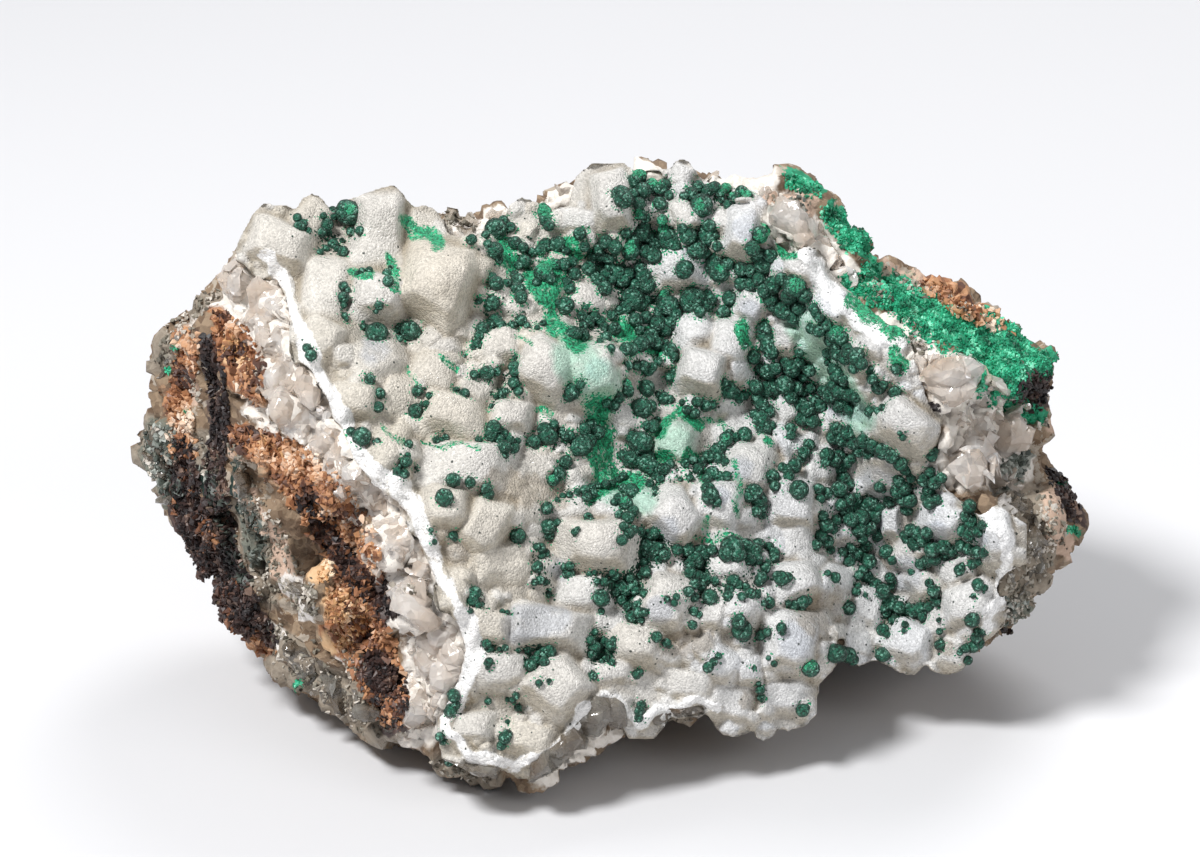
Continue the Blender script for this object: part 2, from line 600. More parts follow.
def crystalHeight(x, y, block, sharp, rng):
    # a blunt crystal over the picture, its edges rounded: the lowest of its side faces, cut corners and top
    cx, cy, long, wide, turn, topX, topY, high = block
    turn = math.radians(turn + rng.uniform(-crystal["turn"], crystal["turn"]))
    u = ((x - cx) * math.cos(turn) + (y - cy) * math.sin(turn)) / long
    v = ((y - cy) * math.cos(turn) - (x - cx) * math.sin(turn)) / wide
    shiftU = (topX * math.cos(turn) + topY * math.sin(turn)) / long
    shiftV = (topY * math.cos(turn) - topX * math.sin(turn)) / wide
    crown = 1 - crystal["dome"] * ((u - shiftU) ** 2 + (v - shiftV) ** 2)
    tilts = rng.uniform(-crystal["topTilt"], crystal["topTilt"], 2)
    faces = [high * (crown + tilts[0] * (u - shiftU) + tilts[1] * (v - shiftV))]
    for corner in range(8):
        way = math.radians(45 * corner + rng.uniform(-crystal["sideTurn"], crystal["sideTurn"]))
        foot, top = crystal["corner"] if corner % 2 else crystal["side"]
        outer = foot * rng.uniform(*crystal["footSpread"])
        inner = top * rng.uniform(*crystal["topSpread"])
        inner = min(inner + math.cos(way) * shiftU + math.sin(way) * shiftV, outer - crystal["steepest"])
        faces.append(high * (outer - math.cos(way) * u - math.sin(way) * v) / (outer - inner))
    lowest = np.min(faces, axis=0)
    return lowest - sharp * np.log(sum(np.exp((lowest - face) / sharp) for face in faces))


def evened(values, known, reach):
    # running means in both directions, over the known places only
    half = max(1, round(reach))

    def spread(grid):
        for axis in (0, 1):
            margin = [(half, half) if k == axis else (0, 0) for k in (0, 1)]
            for _ in range(3):
                padded = np.pad(grid, margin, mode="constant")
                sums = np.cumsum(np.insert(padded, 0, 0.0, axis=axis), axis=axis)
                size = grid.shape[axis]
                high = np.take(sums, range(2 * half, 2 * half + size), axis=axis)
                grid = (high - np.take(sums, range(size), axis=axis)) / (2 * half)
        return grid

    return spread(np.where(known, values, 0.0)) / np.maximum(spread(known.astype(float)), 1e-6)


def insideSteps(known, most):
    # how many grid steps each place lies inside the outline
    steps, left = np.zeros(known.shape), known.copy()
    for _ in range(most):
        steps += left
        padded = np.pad(left, 1)
        left = left & padded[:-2, 1:-1] & padded[2:, 1:-1] & padded[1:-1, :-2] & padded[1:-1, 2:]
    return steps


def lookThrough(crust, rock, xs, ys):
    # distances from the eye along every line of sight: the crust's front and back, and the rock's front
    front, back, stone = (np.full((len(ys), len(xs)), openAir) for _ in range(3))
    behind = druse["behind"]
    for i, y in enumerate(ys):
        for j, x in enumerate(xs):
            line = sightLine(x, y)
            reach = crust.ray_cast(eye, line)[3]
            rocky = rock.ray_cast(eye, line)[3]
            if rocky is not None:
                stone[i, j] = rocky
            if reach is not None:
                front[i, j] = reach
                back[i, j] = reach + behind - crust.ray_cast(eye + line * (reach + behind), -line)[3]
    return front, back, stone


def sidesOf(quads):
    return np.concatenate([quads[:, (k, (k + 1) % 4)] for k in range(4)])


def looseSides(quads, count):
    # the sides that only one face has, in its own direction
    sides = sidesOf(quads).astype(np.int64)
    keys = sides[:, 0] * count + sides[:, 1]
    mirrored = sides[:, 1] * count + sides[:, 0]
    return sides[~np.isin(keys, mirrored)]


def shellMesh(name, quads, skin, rear):
    # front faces, back faces, and a few rows of wall along the open edge
    count = len(skin)
    loose = looseSides(quads, count)
    rim = np.unique(loose)
    place = np.full(count, -1)
    place[rim] = np.arange(len(rim))
    rows = druse["wallRows"]
    walls = [skin[rim] + (rear[rim] - skin[rim]) * (k + 1) / (rows + 1) for k in range(rows)]
    between = [place + 2 * count + k * len(rim) for k in range(rows)]
    rings = [np.arange(count)] + between + [np.arange(count) + count]
    faces = quads.tolist() + (quads[:, ::-1] + count).tolist()
    first, second = loose[:, 0], loose[:, 1]
    for near, far in zip(rings, rings[1:]):
        faces += np.stack((near[second], near[first], far[first], far[second]), axis=1).tolist()
    return makeObject(name, np.concatenate([skin, rear] + walls).tolist(), faces)


def sheetMesh(name, x, y, front, back, known, extras):
    # a closed sheet between two depths over the known places of the picture
    number = np.full(known.shape, -1)
    number[known] = np.arange(known.sum())
    full = known[:-1, :-1] & known[1:, :-1] & known[:-1, 1:] & known[1:, 1:]
    corners = (number[:-1, :-1][full], number[1:, :-1][full], number[1:, 1:][full], number[:-1, 1:][full])
    used = np.zeros(known.sum(), bool)
    for corner in corners:
        used[corner] = True
    order = np.cumsum(used) - 1
    quads = order[np.stack(corners, axis=1)]
    count = int(used.sum())

    def flat(grid):
        return grid[known][used]

    px = np.stack((flat(x), flat(y)), axis=1)
    links = np.unique(np.sort(sidesOf(quads), axis=1), axis=0)
    edge = flat(insideSteps(known, druse["edgeSteps"])) < druse["edgeSteps"]
    px[edge] = relax(px, links, druse["edgeRounds"])[edge]
    lines = np.stack(((px[:, 0] - view["eyePx"][0]) * view["pixel"],
                      (view["eyePx"][1] - px[:, 1]) * view["pixel"],
                      np.full(count, -view["distance"])), axis=1)
    lines = lines / np.linalg.norm(lines, axis=1)[:, None] @ np.array(faceTurn).T
    skin = np.array(eye) + lines * flat(front)[:, None]
    rear = np.array(eye) + lines * flat(back)[:, None]

    thing = shellMesh(name, quads, skin, rear)
    extra = len(thing.data.vertices) - count
    for label, grid in extras.items():
        storeMask(thing, label, np.concatenate((flat(grid), np.full(extra, 0.5))))
    hidden = thing.vertex_groups.new(name="hidden back")
    hidden.add([int(k) for k in range(count, 2 * count)], 1.0, "REPLACE")
    share = thing.modifiers.new("lighter back", "DECIMATE")
    share.vertex_group = "hidden back"
    share.ratio = (1 + druse["backShare"]) / 2
    bake(thing)
    thing.data.validate()
    thing.data.shade_smooth()
    return thing


def growBlock(x, y, high, tone, block, settle, sharp, rng):
    # one crystal raised in the field of heights, with a tone of its own
    step = x[0, 1] - x[0, 0]
    reach = crystal["reach"] * max(block[2], block[3])
    left = max(0, int((block[0] - reach - x[0, 0]) / step))
    top = max(0, int((block[1] - reach - y[0, 0]) / step))
    part = (slice(top, max(0, int((block[1] + reach - y[0, 0]) / step)) + 2),
            slice(left, max(0, int((block[0] + reach - x[0, 0]) / step)) + 2))
    made = crystalHeight(x[part], y[part], block, sharp, rng) + settle
    own = rng.random()
    tone[part] = np.where(made > high[part], own, tone[part])
    high[part] = np.maximum(high[part], made)


def crystalField(x, y, known, rng):
    high = np.zeros(x.shape)
    tone = np.full(x.shape, 0.5)
    for block in crystalBlocks:
        growBlock(x, y, high, tone, block, 0, druse["roundPx"], rng)
    rows, columns = np.nonzero(known)
    placed = 0
    while placed < druse["fillers"]:
        k = rng.integers(len(rows))
        i, j = rows[k], columns[k]
        if high[i, j] > druse["lowPx"]:
            continue
        wide = rng.uniform(*druse["fillerPx"])
        block = (x[i, j], y[i, j], wide, wide * rng.uniform(0.7, 1.2), rng.uniform(0, 90), 0, -0.15 * wide,
                 wide * rng.uniform(0.6, 1.0))
        growBlock(x, y, high, tone, block, high[i, j] * 0.6, druse["roundPx"], rng)
        placed += 1
    return high, tone


def makeDruse(x, y, front, back, stone):
    rng = np.random.default_rng(21)
    step = druse["stepPx"]
    seen = (front < openAir) & (front < stone + druse["overlap"])
    onRock = strokeMask(x.ravel(), y.ravel(), edgeGrowth).reshape(x.shape) > 0.5
    around = evened((seen | (onRock & (stone < openAir))).astype(float), np.ones(seen.shape, bool),
                    druse["closePx"] / step)
    grown = (onRock | (~seen & (around > 0.55))) & (stone < openAir)
    known = seen | grown
    front = np.where(grown, np.minimum(front, stone - druse["overRock"]), front)
    back = np.where(back < openAir, back, 0)
    back = np.where(grown, np.maximum(back, front + 3 * druse["overRock"]), back)
    high, tone = crystalField(x, y, known, rng)
    tone = druse["ownTone"] * tone + (1 - druse["ownTone"]) * ramp(x, *druse["coldPx"])
    ridge = druse["ridgePx"] + druse["ridgeWavePx"] * np.sin(x / 5 + y / 9)
    lipRidge = strokeMask(x.ravel(), y.ravel(), rimStroke).reshape(x.shape)
    high = np.maximum(high, high * 0.5 + lipRidge * ridge)
    even = evened(front, known, druse["evenPx"] / step)
    inside = insideSteps(known, 8) * step
    lip = 1 - np.clip(inside / druse["lipPx"], 0, 1)
    high = high - druse["lipDropPx"] * lip * lip
    made = even + (high[known].mean() - high) * view["pixel"]
    made = np.minimum(made, back - druse["thinnest"])
    off = (made - front)[seen] * 1000
    print("crust against the frame: mean %.2f mm, nearly all under %.2f mm"
          % (off.mean(), np.percentile(np.abs(off), 97)))
    hollowReach, hollowDepth = druse["hollowPx"]
    hollow = 0.5 + (evened(high, known, hollowReach / step) - high) / hollowDepth
    rear = np.maximum(evened(back, known, 4 / step), made + druse["thinnest"])
    thing = sheetMesh("quartz_crust", x, y, made, rear, known, {"tone": tone, "hollow": hollow})
    points = coordsOf(thing)
    normals = normalsOf(thing)
    lift = cloud(points, druse["waves"][0], 1) * druse["waves"][1]
    lift += cloud(points, druse["grain"][0], 2, 2) * druse["grain"][1]
    setCoords(thing, points + normals * lift[:, None])
    px, py = pictureOf(points)
    wavyX = px + druse["wobblePx"] * np.sin(py / 7 + 2 * np.sin(px / 11))
    wavyY = py + druse["wobblePx"] * np.sin(px / 6 + 2 * np.sin(py / 13))
    thin = [stroke for stroke in greenStrokes if stroke[0][2] < 5]
    wide = [stroke for stroke in greenStrokes if stroke[0][2] >= 5]
    faint = 0.5 * strokeMask(wavyX, wavyY, thin)
    storeMask(thing, "green", np.maximum(strokeMask(wavyX, wavyY, wide), faint))
    storeMask(thing, "tint", strokeMask(px, py, greenTints))
    storeMask(thing, "blue", strokeMask(px, py, blueStrokes))
    storeMask(thing, "brown", strokeMask(px, py, brownStrokes))
    storeMask(thing, "rim", strokeMask(wavyX, wavyY, rimStroke))
    storeMask(thing, "pepper", ramp(px, 640, 860) * 0.5 + ramp(py, 540, 660) * 0.35 + 0.3)
    storeMask(thing, "under", ramp(-normals[:, 2], -0.25, 0.65))
    print("quartz crust:", len(points), "points")
    return thing


frost = {
    "warm": (rgb(178, 169, 153), rgb(216, 209, 197)),
    "cold": (rgb(192, 194, 199), rgb(228, 228, 227)),
    "low": rgb(172, 160, 138),
    "hollow": rgb(142, 130, 110),
    "growth": (rgb(4, 74, 48), rgb(44, 180, 126)),
    "underGrowth": rgb(52, 156, 112),
    "moss": (rgb(8, 34, 26), rgb(22, 84, 60)),
    "pepper": rgb(26, 40, 32),
    "sugarSize": 0.00024,
    "sugarShade": (0.62, 1.34),
}

# Colours that lie over the quartz: mask, size of the patches, raggedness, sharpness, strength, colour
frostStains = [
    ("blue", 330.0, 0.9, 1.1, 0.42, rgb(152, 160, 174)),
    ("brown", 700.0, 1.0, 1.4, 0.5, rgb(128, 112, 88)),
    ("tint", 500.0, 0.5, 1.1, 0.5, rgb(120, 194, 164)),
    ("rim", 500.0, 1.1, 2.5, 0.8, rgb(250, 249, 248)),
]


def frostedQuartz():
    made, tree, shader = newMaterial("frostedQuartz")
    at = place(tree)
    cloudy = noiseOf(tree, at, 260.0, 5.0)
    warm, cold = (mixColours(tree, cloudy, *frost[name]) for name in ("warm", "cold"))
    colour = mixColours(tree, attribute(tree, "tone"), warm, cold)
    low = patchy(tree, at, "under", 400.0, 0.7, 1.2)
    colour = mixColours(tree, maths(tree, "MULTIPLY", low, 0.7), colour, frost["low"])
    hollow = maths(tree, "SUBTRACT", attribute(tree, "hollow"), 0.55, clamp=True)
    colour = mixColours(tree, maths(tree, "MULTIPLY", hollow, 1.9, clamp=True), colour, frost["hollow"])
    for name, scale, amount, sharp, strength, tone in frostStains:
        stain = patchy(tree, at, name, scale, amount, sharp)
        colour = mixColours(tree, maths(tree, "MULTIPLY", stain, strength), colour, tone)
    sugar = groupNode(tree, sugarGroup, {"Vector": at, "Size": frost["sugarSize"], "Depth": 1.0})
    colour = shaded(tree, colour, sugar.outputs["Tone"], *frost["sugarShade"])
    halo = stippled(tree, at, "halo", 0.00017, 0.8)
    green = stippled(tree, at, "green", 0.00021, 1.0)
    vivid = remapped(tree, noiseOf(tree, at, 3400.0, 2.0), (0.35, 0.65))
    under = patchy(tree, at, "green", 600.0, 0.9, 1.3)
    colour = mixColours(tree, maths(tree, "MULTIPLY", under, 0.55), colour, frost["underGrowth"])
    growth = mixColours(tree, vivid, *frost["growth"])
    colour = mixColours(tree, maths(tree, "MAXIMUM", halo, green), colour, growth)
    moss = stippled(tree, at, "moss", 0.00022, 1.25)
    colour = mixColours(tree, moss, colour, mixColours(tree, vivid, *frost["moss"]))
    often = maths(tree, "MULTIPLY", attribute(tree, "pepper"), 0.55)
    pepper = groupNode(tree, speckGroup, {"Vector": at, "Spacing": 0.0009, "Radius": 0.13, "Density": often})
    colour = mixColours(tree, maths(tree, "MULTIPLY", pepper.outputs[0], 0.9), colour, frost["pepper"])
    tree.links.new(colour, shader.inputs["Base Color"])
    rough = maths(tree, "SUBTRACT", 0.66, maths(tree, "MULTIPLY", sugar.outputs["Sparkle"], 0.48))
    tree.links.new(rough, shader.inputs["Roughness"])
    bumped(tree, shader, sugar.outputs["Height"], 0.9, 0.00015)
    shader.inputs["IOR"].default_value = 1.54
    return made


# Host rock

hostRock = {
    "voxel": 0.00052,
    "lift": 0.00035,             # closes the fine gap to the crust
    "chunkSize": 0.0036,
    "chunkTilt": 0.30,
    "bitSize": 0.0014,
    "bitTilt": 0.34,
    "grain": (0.0009, 0.00022),
    "facing": (-0.15, 0.10),     # where the rock begins to face the view
    "most": 0.0011,              # the broken faces reach this far in or out
    "restHeight": 0.0012,        # the base stays flat below this
    "under": 0.00025,            # the rock keeps this far under the crust
    "hollowDepth": 0.0012,
}

rockZones = {
    "clear": [
        [(238, 262, 22), (250, 300, 34), (285, 345, 36), (290, 400, 48), (320, 425, 42), (350, 480, 34),
         (372, 530, 40), (400, 575, 40), (440, 620, 36), (445, 665, 38), (425, 710, 34), (400, 735, 20)],
        [(780, 215, 26), (815, 250, 24), (850, 280, 16)], [(925, 355, 26), (960, 385, 34), (985, 420, 44),
         (965, 460, 34), (1010, 470, 26)], [(880, 325, 14), (900, 330, 12)], [(185, 325, 10),
         (215, 300, 12)], [(400, 200, 24), (470, 220, 24), (520, 205, 24), (560, 188, 24), (600, 170, 26),
         (650, 160, 28), (700, 172, 28), (760, 186, 20)], [(600, 716, 28), (572, 748, 20), (540, 768, 20)],
        [(600, 750, 20), (560, 780, 14)], [(450, 222, 14), (480, 224, 10)], [(560, 205, 12),
         (600, 180, 12)],
    ],
    "smoky": [
        [(150, 430, 18), (152, 490, 18)], [(1000, 625, 24), (1020, 600, 18)], [(450, 772, 26),
         (490, 770, 16)], [(680, 712, 24)], [(160, 365, 10), (190, 310, 12), (215, 296, 10)],
        [(400, 205, 10), (430, 214, 12), (470, 226, 10)], [(285, 655, 24), (330, 690, 26), (390, 725, 20)],
        [(245, 500, 14), (262, 560, 16), (270, 600, 14)], [(205, 440, 12), (215, 480, 10)],
        [(1025, 505, 26), (1035, 545, 26), (1010, 600, 20), (1000, 640, 20)], [(860, 275, 10),
         (885, 300, 10)],
    ],
    "iron": [
        [(222, 316, 8), (232, 345, 20), (247, 368, 18), (262, 400, 8)], [(232, 432, 8), (262, 446, 18),
         (292, 462, 22), (318, 495, 26), (345, 535, 26), (362, 575, 22), (352, 615, 26), (370, 650, 26),
         (385, 690, 20), (398, 720, 10)], [(190, 340, 12), (180, 390, 12), (182, 470, 14), (192, 520, 16),
         (215, 580, 14), (240, 620, 16), (268, 645, 12)], [(930, 285, 10), (960, 306, 12), (1005, 328, 10)],
    ],
    "dark": [
        [(182, 440, 8), (186, 480, 14), (200, 530, 17), (216, 580, 17), (246, 628, 15)], [(208, 340, 8),
         (216, 375, 10), (222, 420, 9), (214, 470, 10), (222, 510, 10), (232, 565, 10), (250, 610, 10),
         (272, 640, 8)], [(305, 500, 10), (325, 530, 12), (345, 560, 12), (375, 595, 14), (392, 610, 10)],
        [(372, 665, 14), (388, 690, 18), (398, 718, 14)], [(178, 480, 8), (190, 545, 8)], [(1040, 378, 12),
         (1028, 400, 14)], [(1052, 470, 7), (1066, 495, 9), (1076, 520, 6)], [(1010, 640, 14)],
        [(932, 408, 7)],
    ],
    "tan": [
        [(336, 600, 14), (352, 618, 16), (340, 640, 10)], [(330, 560, 6), (322, 580, 6)], [(255, 440, 8),
         (285, 452, 8)], [(225, 335, 8), (250, 372, 8)],
    ],
    "pink": [
        [(230, 442, 6), (250, 490, 9), (272, 530, 11), (292, 570, 14), (305, 600, 12)], [(190, 370, 8),
         (196, 400, 7)], [(885, 268, 8), (925, 290, 9), (970, 312, 7)], [(805, 212, 10), (770, 200, 8)],
        [(1042, 425, 7)], [(1048, 500, 12), (1058, 545, 12)],
    ],
    "pale": [
        [(300, 585, 14), (310, 610, 10)], [(365, 665, 10), (350, 655, 8)], [(270, 625, 10), (285, 640, 8)],
        [(400, 590, 10), (440, 600, 14)], [(1005, 505, 12)], [(915, 345, 10)],
    ],
    "sage": [
        [(160, 430, 14), (165, 480, 14), (175, 500, 8)], [(245, 500, 8), (262, 560, 12)], [(790, 210, 14)],
        [(1005, 480, 14), (1020, 455, 10)], [(1010, 610, 18)],
    ],
    "velvet": [
        [(790, 180, 8), (815, 192, 9)], [(828, 212, 9), (848, 228, 15), (862, 246, 14)], [(850, 285, 13),
         (890, 290, 16), (930, 320, 22), (975, 345, 26), (1015, 365, 22), (1045, 362, 14)], [(985, 375, 20),
         (1010, 400, 16), (1034, 418, 8)], [(985, 320, 12), (1020, 340, 14)], [(868, 265, 8),
         (880, 300, 14)], [(1062, 486, 5)], [(1072, 530, 5)], [(176, 347, 3)], [(168, 370, 3)],
        [(188, 412, 3)], [(300, 683, 4)],
    ],
    "deepGreen": [
        [(206, 470, 5), (220, 505, 7), (233, 560, 9), (245, 590, 7)], [(236, 460, 4), (242, 510, 4)],
    ],
}


def makeRock(crust):
    base = copyOf("matrix_rock", "host_rock")
    voxelSkin(base, hostRock["voxel"])
    edges = edgesOf(base)
    points = relax(coordsOf(base), edges, 2)
    setCoords(base, points)
    normals = normalsOf(base)
    x, y = pictureOf(points)
    toEye = eyeward(points)
    front = ramp((normals * toEye).sum(axis=1), *hostRock["facing"])
    masks = {name: strokeMask(x, y, strokes) * front for name, strokes in rockZones.items()}
    free = ramp(points[:, 2], 0.0002, hostRock["restHeight"])
    soft = masks["velvet"] * 0.6
    rough = chunks(points, hostRock["chunkSize"], 3, hostRock["chunkTilt"])
    bits = chunks(points, hostRock["bitSize"], 4, hostRock["bitTilt"])
    grain = cloud(points, hostRock["grain"][0], 5) * hostRock["grain"][1]
    crumbly = np.maximum(masks["iron"], 1 - front)
    height = rough * (1 - soft) + bits * (0.5 + 0.5 * masks["clear"]) + grain * (0.5 + crumbly)
    height = np.clip(height, -hostRock["most"], hostRock["most"]) + hostRock["lift"]
    cover = np.array([crust.ray_cast(Vector(p), Vector(w))[3] or openAir for p, w in zip(points, toEye)])
    covered = cover < openAir
    height = np.where(covered & (front > 0), np.minimum(height, -hostRock["under"]), height)
    points = points + normals * (height * free)[:, None]
    points[:, 2] = np.maximum(points[:, 2], 0.0)
    setCoords(base, points)
    normals = normalsOf(base)
    for name, values in masks.items():
        storeMask(base, name, values)
    storeMask(base, "front", front)
    storeMask(base, "hollow", 0.5 + hollowness(points, normals, edges, 8) / hostRock["hollowDepth"])
    print("host rock:", len(base.data.vertices), "points")
    return base, cover


ironTones = [(0.0, rgb(54, 36, 32)), (1.0, rgb(230, 210, 190)), (0.22, rgb(92, 60, 46)),
             (0.42, rgb(150, 100, 68)), (0.62, rgb(190, 140, 100)), (0.82, rgb(212, 176, 146))]
tanTones = [(0.0, rgb(132, 94, 60)), (1.0, rgb(246, 226, 198)), (0.4, rgb(202, 154, 104)),
            (0.7, rgb(226, 188, 146))]
darkTones = [(0.0, rgb(14, 10, 12)), (1.0, rgb(126, 102, 88)), (0.5, rgb(38, 27, 27)), (0.8, rgb(74, 54, 48))]
greyTones = [(0.0, rgb(80, 74, 64)), (1.0, rgb(226, 218, 208)), (0.4, rgb(130, 124, 110)),
             (0.7, rgb(184, 176, 164))]
sageTones = [(0.0, rgb(40, 46, 40)), (1.0, rgb(186, 190, 182)), (0.5, rgb(88, 96, 88))]
velvetTones = [(0.0, rgb(6, 86, 60)), (1.0, rgb(136, 224, 188)), (0.45, rgb(24, 148, 106)),
               (0.75, rgb(60, 190, 146))]

rockTones = {
    "brown": (rgb(60, 44, 34), rgb(150, 118, 88)),
    "speckled": (rgb(78, 62, 48), rgb(176, 156, 130)),
    "quartz": rgb(182, 172, 158),
    "pit": rgb(44, 33, 26),
    "clear": (rgb(206, 194, 180), rgb(246, 242, 236)),
    "smoky": (rgb(92, 80, 66), rgb(176, 164, 148)),
    "pink": (rgb(168, 136, 116), rgb(214, 190, 170)),
    "tan": (rgb(190, 142, 96), rgb(232, 200, 160)),
    "dark": (rgb(22, 16, 18), rgb(84, 62, 60)),
    "velvet": (rgb(12, 118, 82), rgb(66, 196, 150), rgb(14, 116, 80)),
    "sage": rgb(104, 112, 102),
    "pale": rgb(226, 220, 214),
    "deepGreen": rgb(10, 40, 32),
}

# How each zone lies on the rock, lowest first: size of the patches, raggedness, sharpness, strength
rockLayers = {
    "clear": (500.0, 0.5, 3.0, 1.0),
    "smoky": (500.0, 0.8, 1.6, 1.0),
    "sage": (500.0, 0.7, 2.0, 0.75),
    "pink": (500.0, 0.6, 3.0, 1.0),
    "pale": (500.0, 0.7, 3.0, 1.0),
    "iron": (600.0, 0.9, 2.0, 1.0),
    "tan": (600.0, 0.8, 2.0, 1.0),
    "dark": (700.0, 1.2, 2.2, 0.9),
    "deepGreen": (800.0, 0.9, 4.0, 1.0),
    "velvet": (700.0, 1.0, 5.0, 1.0),
}


def rockMaterial():
    made, tree, shader = newMaterial("ironStainedRock")
    at = place(tree)
    coarse = noiseOf(tree, at, 260.0, 6.0, 0.65)
    fine = noiseOf(tree, at, 1300.0, 4.0, 0.7)
    grains = put(tree, "ShaderNodeTexVoronoi", {"Vector": at, "Scale": 1100.0})
    grainParts = put(tree, "ShaderNodeSeparateColor", {"Color": grains.outputs["Color"]})
    brown = mixColours(tree, coarse, *rockTones["brown"])
    speckled = mixColours(tree, grainParts.outputs["Red"], *rockTones["speckled"])
    colour = mixColours(tree, 0.5, brown, speckled)
    quartzPatch = maths(tree, "GREATER_THAN", coarse, 0.56)
    colour = mixColours(tree, maths(tree, "MULTIPLY", quartzPatch, 0.7), colour, rockTones["quartz"])

    mixed = maths(tree, "ADD", maths(tree, "MULTIPLY", grainParts.outputs["Green"], 0.5),
                  maths(tree, "MULTIPLY", coarse, 0.5))
    velvet = mixColours(tree, grainParts.outputs["Blue"], *rockTones["velvet"][:2])
    plain = ("clear", "smoky", "pink", "tan", "dark")
    tones = {name: mixColours(tree, fine, *rockTones[name]) for name in plain}
    tones["iron"] = colourStops(tree, mixed, ironTones)
    tones["velvet"] = mixColours(tree, fine, velvet, rockTones["velvet"][2])
    for name, (scale, amount, sharp, strength) in rockLayers.items():
        mask = maths(tree, "MULTIPLY", patchy(tree, at, name, scale, amount, sharp), strength)
        colour = mixColours(tree, mask, colour, tones.get(name, rockTones.get(name)))
    pit = maths(tree, "SUBTRACT", attribute(tree, "hollow"), 0.62, clamp=True)
    colour = mixColours(tree, maths(tree, "MULTIPLY", pit, 2.2, clamp=True), colour, rockTones["pit"])
    tree.links.new(colour, shader.inputs["Base Color"])
    gloss = maths(tree, "MULTIPLY", attribute(tree, "clear"), 0.5)
    dull = maths(tree, "ADD", 0.6, maths(tree, "MULTIPLY", fine, 0.4))
    tree.links.new(maths(tree, "SUBTRACT", dull, gloss), shader.inputs["Roughness"])
    both = maths(tree, "ADD", fine, maths(tree, "MULTIPLY", grains.outputs["Distance"], 0.7))
    bumped(tree, shader, both, 0.8, 0.00025)
    shader.inputs["IOR"].default_value = 1.52
    return made


# Grit: angular grains that stand out of the rock, by zone

grit = {
    "iron": {"zones": ("iron",), "count": 4600, "sizePx": (1.8, 7.0), "tones": ironTones, "patch": 0.0040},
    "tan": {"zones": ("tan",), "count": 700, "sizePx": (1.6, 5.5), "tones": tanTones, "patch": 0.0030},
    "dark": {"zones": ("dark",), "count": 4200, "sizePx": (1.6, 6.0), "tones": darkTones, "patch": 0.0020},
    "sage": {"zones": ("sage", "deepGreen"), "count": 800, "sizePx": (2.0, 6.0), "tones": sageTones,
             "patch": 0.0030},
    "grey": {"zones": ("pink", "pale", "smoky"), "count": 2400, "sizePx": (1.8, 5.0), "tones": greyTones,
             "patch": 0.0030},
    "velvet": {"zones": ("velvet",), "count": 6500, "sizePx": (1.3, 3.4), "tones": velvetTones,
               "patch": 0.0016},
}

gritGrain = {
    "shapes": 14,
    "corners": 8,
    "cornerReach": (0.75, 1.2),
    "clearance": 0.0004,         # no grains on rock that lies this near behind the crust
    "restHeight": 0.0009,        # nor below this
    "raised": 0.15,              # share of the size that stands off the rock
    "drift": (0.46, 1.4),        # middle and swing of the tone from patch to patch
    "patchShare": 0.55,
    "darkened": 0.5,             # in the dark zone
}


def anyWay(rng):
    return Vector((rng.gauss(0, 1), rng.gauss(0, 1), rng.gauss(0, 1))).normalized()


def anyTurn(rng, upright):
    angle = rng.uniform(0, math.tau)
    return Matrix.Rotation(angle, 3, Vector((rng.gauss(0, 1), rng.gauss(0, 1), upright)).normalized())


def pebbleShapes(rng, count):
    # a few random angular grains, to be turned and scaled
    shapes = []
    for _ in range(count):
        shell = bmesh.new()
        ways = [anyWay(rng) for _ in range(gritGrain["corners"])]
        addHull(shell, [way * rng.uniform(*gritGrain["cornerReach"]) for way in ways])
        shell.verts.index_update()
        points = np.array([v.co[:] for v in shell.verts])
        faces = np.array([[v.index for v in f.verts] for f in shell.faces])
        shell.free()
        shapes.append((points, faces))
    return shapes


def makeGrit(name, rock, crust):
    recipe = grit[name]
    rng = random.Random(len(name) + recipe["count"])
    shapes = pebbleShapes(rng, gritGrain["shapes"])
    paths = [path for zone in recipe["zones"] for path in rockZones[zone]]
    weights = [sum(w for _, _, w in path) * (len(path) ** 0.5) for path in paths]
    allPoints, allFaces, tones, start = [], [], [], 0
    for _ in range(recipe["count"]):
        path = rng.choices(paths, weights)[0]
        x, y = alongPath(rng, path)
        line = sightLine(x, y)
        hit, normal, _, reach = rock.ray_cast(eye, line)
        cover = crust.ray_cast(eye, line)[3]
        covered = cover is not None and hit is not None and cover < reach + gritGrain["clearance"]
        if hit is None or covered or hit.z < gritGrain["restHeight"]:
            continue
        size = rng.uniform(*recipe["sizePx"]) * view["pixel"] * rng.uniform(0.6, 1.0)
        points, faces = rng.choice(shapes)
        turn = anyTurn(rng, 0.5)
        stretch = np.array((rng.uniform(0.75, 1.0), rng.uniform(0.75, 1.1), rng.uniform(0.8, 1.2)))
        middle = np.array(hit + normal * size * gritGrain["raised"])
        allPoints.append((points * stretch * size) @ np.array(turn).T + middle)
        allFaces.append(faces + start)
        start += len(points)
        drift = gritGrain["drift"][0] + gritGrain["drift"][1] * noise.noise(hit / recipe["patch"])
        tone = gritGrain["patchShare"] * drift + (1 - gritGrain["patchShare"]) * rng.random()
        tones.append((x, y, tone, len(points)))
    thing = makeObject(name + "_grit", np.concatenate(allPoints).tolist(), np.concatenate(allFaces).tolist())
    x, y, tone, each = (np.array(column) for column in zip(*tones))
    if name != "dark":
        tone = tone - gritGrain["darkened"] * strokeMask(x, y, rockZones["dark"])
    storeMask(thing, "tone", np.repeat(tone, each))
    return thing


